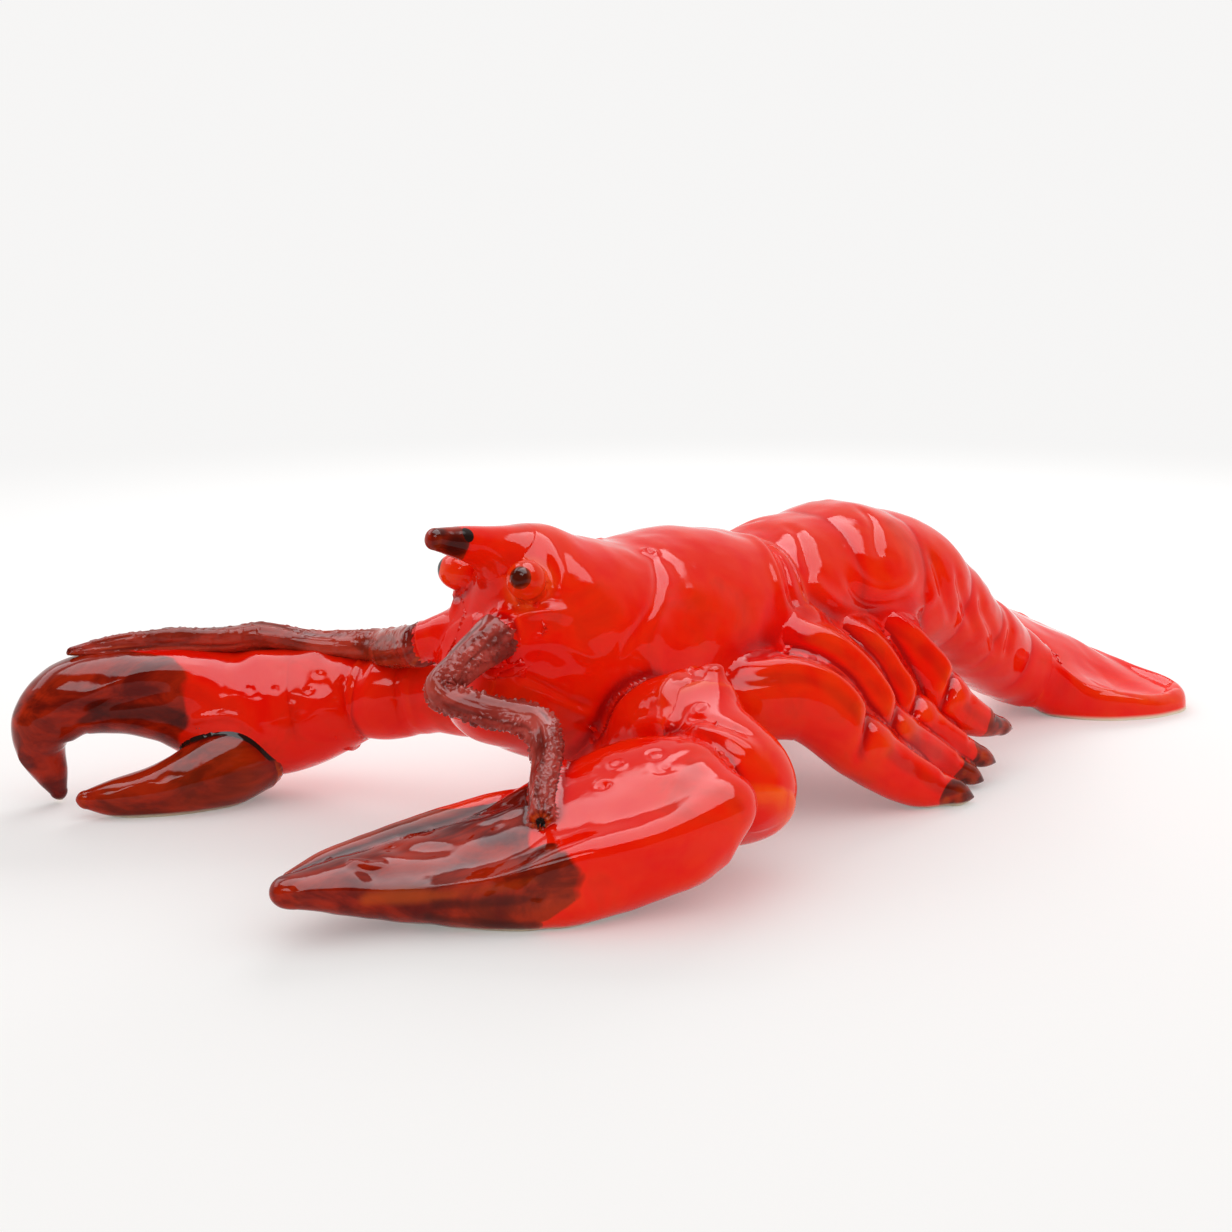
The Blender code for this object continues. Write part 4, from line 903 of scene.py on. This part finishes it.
markedPieces = (
    (clawMarks, ("claw_left", "claw_finger_left")),
    (wristMarks, ("arm_left", "wrist_left", "elbow_spine")),
    (rightClawMarks, ("claw_right", "claw_finger_right", "wrist_right", "arm_right")),
    (bodyMarks, ("carapace", "abdomen", "rostrum", "antenna_base_left", "antenna_base_right")),
    (legMarks["left"], [f"leg_left_{number}" for number in range(1, 5)]),
    (legMarks["right"], [f"leg_right_{number}" for number in range(1, 5)]),
)


def sculptFan(skin):
    # its near side droops and its far side lifts; a raised rim runs round a sunken, lobed top
    f = tailFan
    x, y, _ = skin.points.T
    share = (y - f["root"]) / f["length"]
    stations, widths = np.array(f["form"])[:, :2].T
    half = np.interp(share, stations, widths) * f["width"] / 2
    inward = np.minimum(half - np.abs(x), (1.0 - share) * f["length"])
    skin.points[:, 2] += f["farRise"] * ease(-x, -18, 34) * ease(share, -0.1, 0.25) * ease(-share, -1.1, -0.7)
    height = np.clip(skin.points[:, 2] / f["full"], 0, 1) * ease(x, -12, 30)
    skin.points[:, 2] -= f["nearDrop"] * height * ease(share, 0.0, 0.24) * ease(-share, -1.0, -0.55)
    top = ease(skin.normals()[:, 2], 0.35, 0.8)
    spread = np.arctan2(x, y - f["root"] + f["lobeCentre"])
    lobes = np.cos(spread * f["lobes"]) * f["lobeDepth"] * ease(share, 0.1, 0.5)
    skin.push(-top * ease(inward, *f["rim"]) * (f["sink"] * ease(share, -0.05, 0.25) - lobes))


rolledClay = {
    "antenna_left": {"seed": 31, "furrows": 20, "grain": 0.95, "grainEdge": (0.05, 0.6), "tint": 0.75},
    "antenna_right": {"seed": 37, "furrows": 12, "grain": 1.4, "grainEdge": (0.2, 0.8), "tint": 0.25},
    "twist": 2.2, "rib": 0.45, "grainHeight": 1.05, "furrowHeight": 0.3, "farGrains": 0.3, "brown": 0.9,
}


def roughenAntenna(skin):
    # ribs along its length and granules, which crowd on the edges of the left one
    clay, own = rolledClay, rolledClay[skin.name]
    around = np.arange(skin.around) / skin.around * 2 * math.pi
    turn = np.concatenate((np.tile(around, skin.rows), (0.0, 0.0)))
    swirl = turn + clay["twist"] * skin.along
    skin.push(clay["rib"] * np.cos(3 * swirl) * ease(np.minimum(skin.along, 1 - skin.along), 0.0, 0.1))
    crowd = ease(np.cos(2 * turn + 1.3 * np.sin(9 * skin.along)), -0.7, 0.6)
    drawnOut = np.stack((5 * np.cos(turn), 5 * np.sin(turn), skin.along * own["furrows"]), 1)
    furrows = lumps(drawnOut, 1.5, own["seed"] + 2)
    grains = ease(lumps(skin.points, own["grain"], own["seed"]), *own["grainEdge"])
    grains = grains * (crowd if skin.name == "antenna_left" else clay["farGrains"])
    skin.push(clay["grainHeight"] * grains + clay["furrowHeight"] * furrows)
    brush(skin, "thin", 0.22 * grains + 0.5 * ease(furrows, 0.25, 0.8) * (1 - crowd))
    brush(skin, "deep", 0.6 * ease(-furrows, 0.2, 0.8))
    brush(skin, "brown", clay["brown"])
    gap = gapTo(skin, skin.points[-1])
    if skin.name == "antenna_left":  # its cut end shows a dark middle in a pale ring
        brush(skin, "ink", within(gap, 1.9, 1.2))
        brush(skin, "thin", 0.6 * within(gap, 3.2, 2.6) * ease(gap, 1.6, 2.2))
    brush(skin, "tint", own["tint"] * ease(gap, 3.0, 5.0))


handwork = {  # lump size, height, seed
    "everywhere": ((26, 0.55, 3), (11, 0.26, 5), (5, 0.09, 8)),
    "casting": (7, 0.17, 9), "drift": (14, 3, 12),
}

for name, skin in skins.items():
    glazeDepth(skin)
    for size, height, seed in handwork["everywhere"]:
        skin.push(height * lumps(skin.points, size, seed))
    if name in ("claw_left", "carapace", "abdomen", "claw_right"):
        size, reach, seed = handwork["drift"]
        drift = reach * lumps(skin.points, size, seed)[:, None] * vec(1, 1, 0)
        size, height, seed = handwork["casting"]
        skin.push(height * lumps(skin.points + drift, size, seed))
    for marks, pieces in markedPieces:
        if name in pieces:
            press(skin, marks)
    if name == "tail_fan":
        sculptFan(skin)
    if name in rolledClay:
        roughenAntenna(skin)
print("tool marks pressed")

# brushed and sprayed colour by place, with painted shade on the far claw and the horn and painted light round
# the near eye

nearClawBrown = {
    "edge": ((40, -56), (46, -50), (55, -31), (69, -42), (81, -49), (87, -45), (97, -44)), "low": -11,
    "streaks": ((((71.5, -78, 10.6), (83.9, -62.3, 11.2), (94, -47, 11.8)), 2.3),
                (((70, -79, 5), (79, -66.5, 3.8), (88, -54.8, 2.8)), 2.8)),
    "amber": ((60, -94, 13), (78, -67, 14.2), (93.5, -41, 18.5)),
}
farClawBrownAndShade = {
    "edge": ((-125, -74), (-110, -66), (-103, -60), (-96, -62), (-60, -66)),
    # painted shade: dark lines along the inner lower edge of the fixed finger
    "paintedShade": ((((-121, -98, 33), (-115.7, -90.5, 32.1), (-111.4, -86.2, 33.5)), 2.2),
               (((-111.4, -86.2, 36), (-106.8, -79.1, 34.7), (-102.1, -71, 34), (-97, -63.5, 32)), 4.4)),
}
legBrown = {"edges": ((76, 139, 8), (69, 155, 14), (67, 166, 19), (59.8, 178, 22)), "from": (40, 105, 40)}
hornPaint = {"tip": (3.9, -13.9, 104), "shade": (4.2, -18.5, 100), "crease": (2.1, -24, 105.4)}
pupil = {
    "place": (20.9, -6.2, 91), "radius": 3.5, "height": 1.3,
    "dots": ((-0.9, -0.9, 1.9), (1.3, 1.9, 1.1)),  # across, up, reach
}
farPupil = {"dark": (-24.5, -6, 88.5), "light": (-20, -6, 88.5)}


def paintNearClaw(skin, ragged):
    x, y, z = skin.points.T
    edge = np.interp(x, *np.array(nearClawBrown["edge"]).T) + nearClawBrown["low"] * ease(-z, -12, -2)
    brush(skin, "brown", ease(edge - y + ragged, -4, 4))
    for line, reach in nearClawBrown["streaks"]:
        gap, _ = distanceTo(skin.points, line)
        brush(skin, "deep", 0.7 * within(gap - 0.5 * ragged, reach, reach * 0.3))
        brush(skin, "brown", within(gap, reach, reach * 0.8))
    gap, _ = distanceTo(skin.points, nearClawBrown["amber"])
    brush(skin, "thin", 0.55 * within(gap - 0.3 * ragged, 3.6, 0.8) * ease(-y, 40, 47))


def paintFarClaw(skin, ragged):
    x, y, z = skin.points.T
    edge = np.interp(x, *np.array(farClawBrownAndShade["edge"]).T)
    brush(skin, "brown", ease(edge - y + ragged, -5, 5))
    # painted shade darkens the glaze along the fixed finger's inner lower edge
    for line, reach in farClawBrownAndShade["paintedShade"]:
        gap, _ = distanceTo(skin.points, line)
        brush(skin, "deep", 0.9 * within(gap - 0.3 * ragged, reach, reach * 0.4))
    if skin.name == "claw_finger_right":  # brown all over, with an inked seam
        brush(skin, "brown", 1.0)
        brush(skin, "ink", 0.85 * within(skin.closest - 0.2 * ragged, 1.9, 0.9) * ease(z, 12, 18))


def paintBrow(skin, ragged):
    # a lighter orange ring round the eye: partly glaze run thin on the socket rim, partly painted light over
    # the shade in the socket, where the pooled-glaze darkening is taken out
    gap = gapTo(skin, (eyes["spacing"] / 2, eyes["y"], eyes["z"]))
    brush(skin, "thin", 0.55 * within(gap, 12, 8))
    skin.paint["deep"] = skin.paint["deep"] * ease(gap, 8, 14)


def paintLeg(skin, ragged):
    mirror = -1 if "right" in skin.name else 1
    edge = vec(*mirrored(legBrown["edges"][int(skin.name[-1]) - 1], mirror))
    ahead = (skin.points - edge) @ unit(edge - mirrored(legBrown["from"], mirror)) + ragged
    spots = lumps(skin.points, 3.6, 17)
    brush(skin, "brown", ease(ahead, -1.5, 2.5))
    brush(skin, "thin", 0.35 * ease(ahead, -1.0, 2.5) * ease(spots, 0.1, 0.5))
    brush(skin, "deep", 0.8 * ease(ahead, -1.0, 2.5) * ease(-spots, 0.0, 0.4))
    for line, hollow, _ in legCreases[skin.name]:
        gap, _ = distanceTo(skin.points, hollow)
        brush(skin, "deep", 0.5 * within(gap - 0.2 * ragged, 3.4, 0.8))
        gap, _ = distanceTo(skin.points, line)
        brush(skin, "thin", 0.3 * within(gap, 2.4, 0.6))


def paintHorn(skin, ragged):
    brush(skin, "brown", ease(-skin.points[:, 1] + ragged * 0.4, 13.5, 16.5))
    brush(skin, "ink", within(gapTo(skin, hornPaint["tip"], (1, 1.5, 1)) - 0.4 * ragged, 3.0, 1.6))
    # painted shade: a darker spot on the horn's side near its inked patch
    brush(skin, "deep", within(gapTo(skin, hornPaint["shade"]), 5.5, 2.5))
    brush(skin, "deep", within(gapTo(skin, hornPaint["crease"], (1, 0.6, 1)), 2.6, 1.0))


def paintNearEye(skin, ragged):
    radius = pupil["radius"]
    gap = gapTo(skin, pupil["place"])
    skin.push(pupil["height"] * within(gap, radius * 1.3, radius * 0.4))
    brush(skin, "brown", within(gap, radius * 1.15, radius * 0.95))
    brush(skin, "deep", within(gap, radius, radius * 0.6))
    brush(skin, "thin", 0.3 * ease(gap, radius * 1.4, radius * 1.9))
    for across, rise, reach in pupil["dots"]:
        gap = gapTo(skin, vec(*pupil["place"]) + vec(across, -across, rise))
        brush(skin, "ink", within(gap, reach * 1.2, reach * 0.5))


def paintFarEye(skin, ragged):
    brush(skin, "ink", within(gapTo(skin, farPupil["dark"]), 4.6, 2.8))
    brush(skin, "thin", 0.5 * within(gapTo(skin, farPupil["light"]), 4.6, 1.0))


painters = {
    "claw_left": paintNearClaw, "claw_finger_left": paintNearClaw, "claw_right": paintFarClaw,
    "claw_finger_right": paintFarClaw, "carapace": paintBrow, "rostrum": paintHorn,
    "eye_left": paintNearEye, "eye_right": paintFarEye,
}
painters.update({name: paintLeg for name in legCreases})

for name, skin in skins.items():
    ragged = 3.0 * lumps(skin.points * vec(1.0, 0.35, 1.0), 6.0, 21)  # how far painted edges wander
    if name in painters:
        painters[name](skin, ragged)
    if name in ("tail_fan", "leg_left_1") or name.startswith("claw"):  # they stand on bare clay
        brush(skin, "bare", within(skin.points[:, 2], 2.0, 0.3))
    skin.push(-1.6 * ease(skin.buried, 0.15, 2.2) * ease(skin.rise, 0.05, 0.4))  # what is buried sinks away
    skin.points[:, 2] = np.maximum(skin.points[:, 2], 0.0)  # and the feet are ground flat
    slot = "maroon_glaze" if name in maroonPieces else "scarlet_glaze"
    node = "arm_left" if name == "elbow_spine" else name
    showPiece(name + "_cast", skin, glazes[slot], node)
print("pieces glazed")

# floor, light and camera, in metres

studio = {
    "floor": (0.93, 0.925, 0.92), "floorHalf": 7.0, "backdrop": (0.925, 0.918, 0.912),
    "fade": (0.25, 0.95), "lift": 0.22,  # where the floor fades into the backdrop, and its share before
    "room": 0.90, "roomTone": (1, 0.99, 0.98), "darkSide": 0.10, "behind": (-0.735, 0.678, 0.0),
    "darkEdge": (-0.25, 0.20), "ceiling": 1.15, "softEdge": 0.06, "panelsAbove": (0.05, 0.1),
    "panels": (((0.1, 0.1), (0.75, 0.65), (8.0, 8.3, 8.6)), ((-1.55, -0.45), (0.6, 0.75), (4.0, 4.2, 4.4)),
               ((0.86, -1.34), (0.45, 0.45), (9.0, 9.2, 9.4))),
}
softbox = {"place": (-0.76, 0.86, 0.66), "size": (1.0, 0.5), "power": 9.0}
shot = {"lens": 73.05, "sensor": 36, "place": (0.6524, -0.5991, 0.2399), "tilt": 78.338, "turn": 49.52}


def addToScene(name, data):
    thing = bpy.data.objects.new(name, data)
    bpy.context.scene.collection.objects.link(thing)
    return thing


def seenDirectly(tree):
    # what the camera sees, straight or in a reflection
    path = addNode(tree, "LightPath").outputs
    reflected = mathNode(tree, "MAXIMUM", path["Is Glossy Ray"], path["Is Transmission Ray"])
    return mathNode(tree, "MAXIMUM", path["Is Camera Ray"], reflected)


def blendTo(tree, output, factor, first, second):
    mix = addNode(tree, "MixShader", {0: factor, 1: first.outputs[0], 2: second.outputs[0]})
    addNode(tree, output, {"Surface": mix.outputs[0]})


def makeFloor():
    half = studio["floorHalf"]
    mesh = bpy.data.meshes.new("paleFloor")
    corners = [(-half, -half, 0), (half, -half, 0), (half, half, 0), (-half, half, 0)]
    mesh.from_pydata(corners, [], [(0, 1, 2, 3)])
    floor = addToScene("paleFloor", mesh)
    material = bpy.data.materials.new("paleFloor")
    material.use_nodes = True
    tree = material.node_tree
    tree.nodes.clear()
    diffuse = addNode(tree, "BsdfDiffuse", {"Color": studio["floor"]})
    glow = addNode(tree, "Emission", {"Color": studio["backdrop"]})
    coords = addNode(tree, "TexCoord").outputs["Object"]
    length = addNode(tree, "VectorMath", {0: coords}, operation="LENGTH").outputs["Value"]
    far = rangeNode(tree, length, *studio["fade"], studio["lift"], 1.0)
    blendTo(tree, "OutputMaterial", mathNode(tree, "MULTIPLY", far, seenDirectly(tree)), diffuse, glow)
    mesh.materials.append(material)


def panelShare(tree, direction, middle, halves):
    # a soft-edged rectangle on the ceiling, from 0 outside to 1 inside
    soft = studio["softEdge"]
    rise = mathNode(tree, "MAXIMUM", direction[2], 0.001)
    inside = rangeNode(tree, direction[2], *studio["panelsAbove"])
    for axis in (0, 1):
        slant = mathNode(tree, "DIVIDE", direction[axis], rise)
        place = mathNode(tree, "MULTIPLY", slant, studio["ceiling"])
        reach = mathNode(tree, "ABSOLUTE", mathNode(tree, "SUBTRACT", place, middle[axis]))
        edge = rangeNode(tree, reach, halves[axis] - soft, halves[axis] + soft, 1.0, 0.0)
        inside = mathNode(tree, "MULTIPLY", edge, inside)
    return inside


def makeWorld():
    # an even room lights the piece; the glaze mirrors one with a white half behind the lobster and panels
    world = bpy.data.worlds.new("studio")
    bpy.context.scene.world = world
    world.use_nodes = True
    tree = world.node_tree
    tree.nodes.clear()
    room = addNode(tree, "Background", {"Color": studio["roomTone"], "Strength": studio["room"]})
    coords = addNode(tree, "TexCoord").outputs["Generated"]
    facing = addNode(tree, "VectorMath", {0: coords, 1: studio["behind"]}, operation="DOT_PRODUCT")
    behind = rangeNode(tree, facing.outputs["Value"], *studio["darkEdge"])
    around = mixNode(tree, behind, (studio["darkSide"],) * 3, studio["backdrop"])
    direction = addNode(tree, "SeparateXYZ", {0: coords}).outputs
    for middle, halves, bright in studio["panels"]:
        around = mixNode(tree, panelShare(tree, direction, middle, halves), around, bright)
    straight = addNode(tree, "LightPath").outputs["Is Camera Ray"]
    around = mixNode(tree, straight, around, studio["backdrop"])
    seen = addNode(tree, "Background", {"Color": around})
    blendTo(tree, "OutputWorld", seenDirectly(tree), room, seen)


def makeSoftbox():
    light = bpy.data.lights.new("backSoftbox", "AREA")
    light.shape = "RECTANGLE"
    light.size, light.size_y = softbox["size"]
    light.energy = softbox["power"]
    lamp = addToScene("backSoftbox", light)
    lamp.location = softbox["place"]
    lamp.rotation_euler = (-Vector(softbox["place"])).to_track_quat("-Z", "Y").to_euler()
    lamp.visible_glossy = False


def makeCamera():
    camera = bpy.data.cameras.new("camera")
    camera.lens, camera.sensor_width = shot["lens"], shot["sensor"]
    viewer = addToScene("camera", camera)
    viewer.location = shot["place"]
    viewer.rotation_euler = (math.radians(shot["tilt"]), 0, math.radians(shot["turn"]))
    bpy.context.scene.camera = viewer
    bpy.context.scene.view_settings.view_transform = "Standard"


makeFloor()
makeWorld()
makeSoftbox()
makeCamera()
print("studio lit")
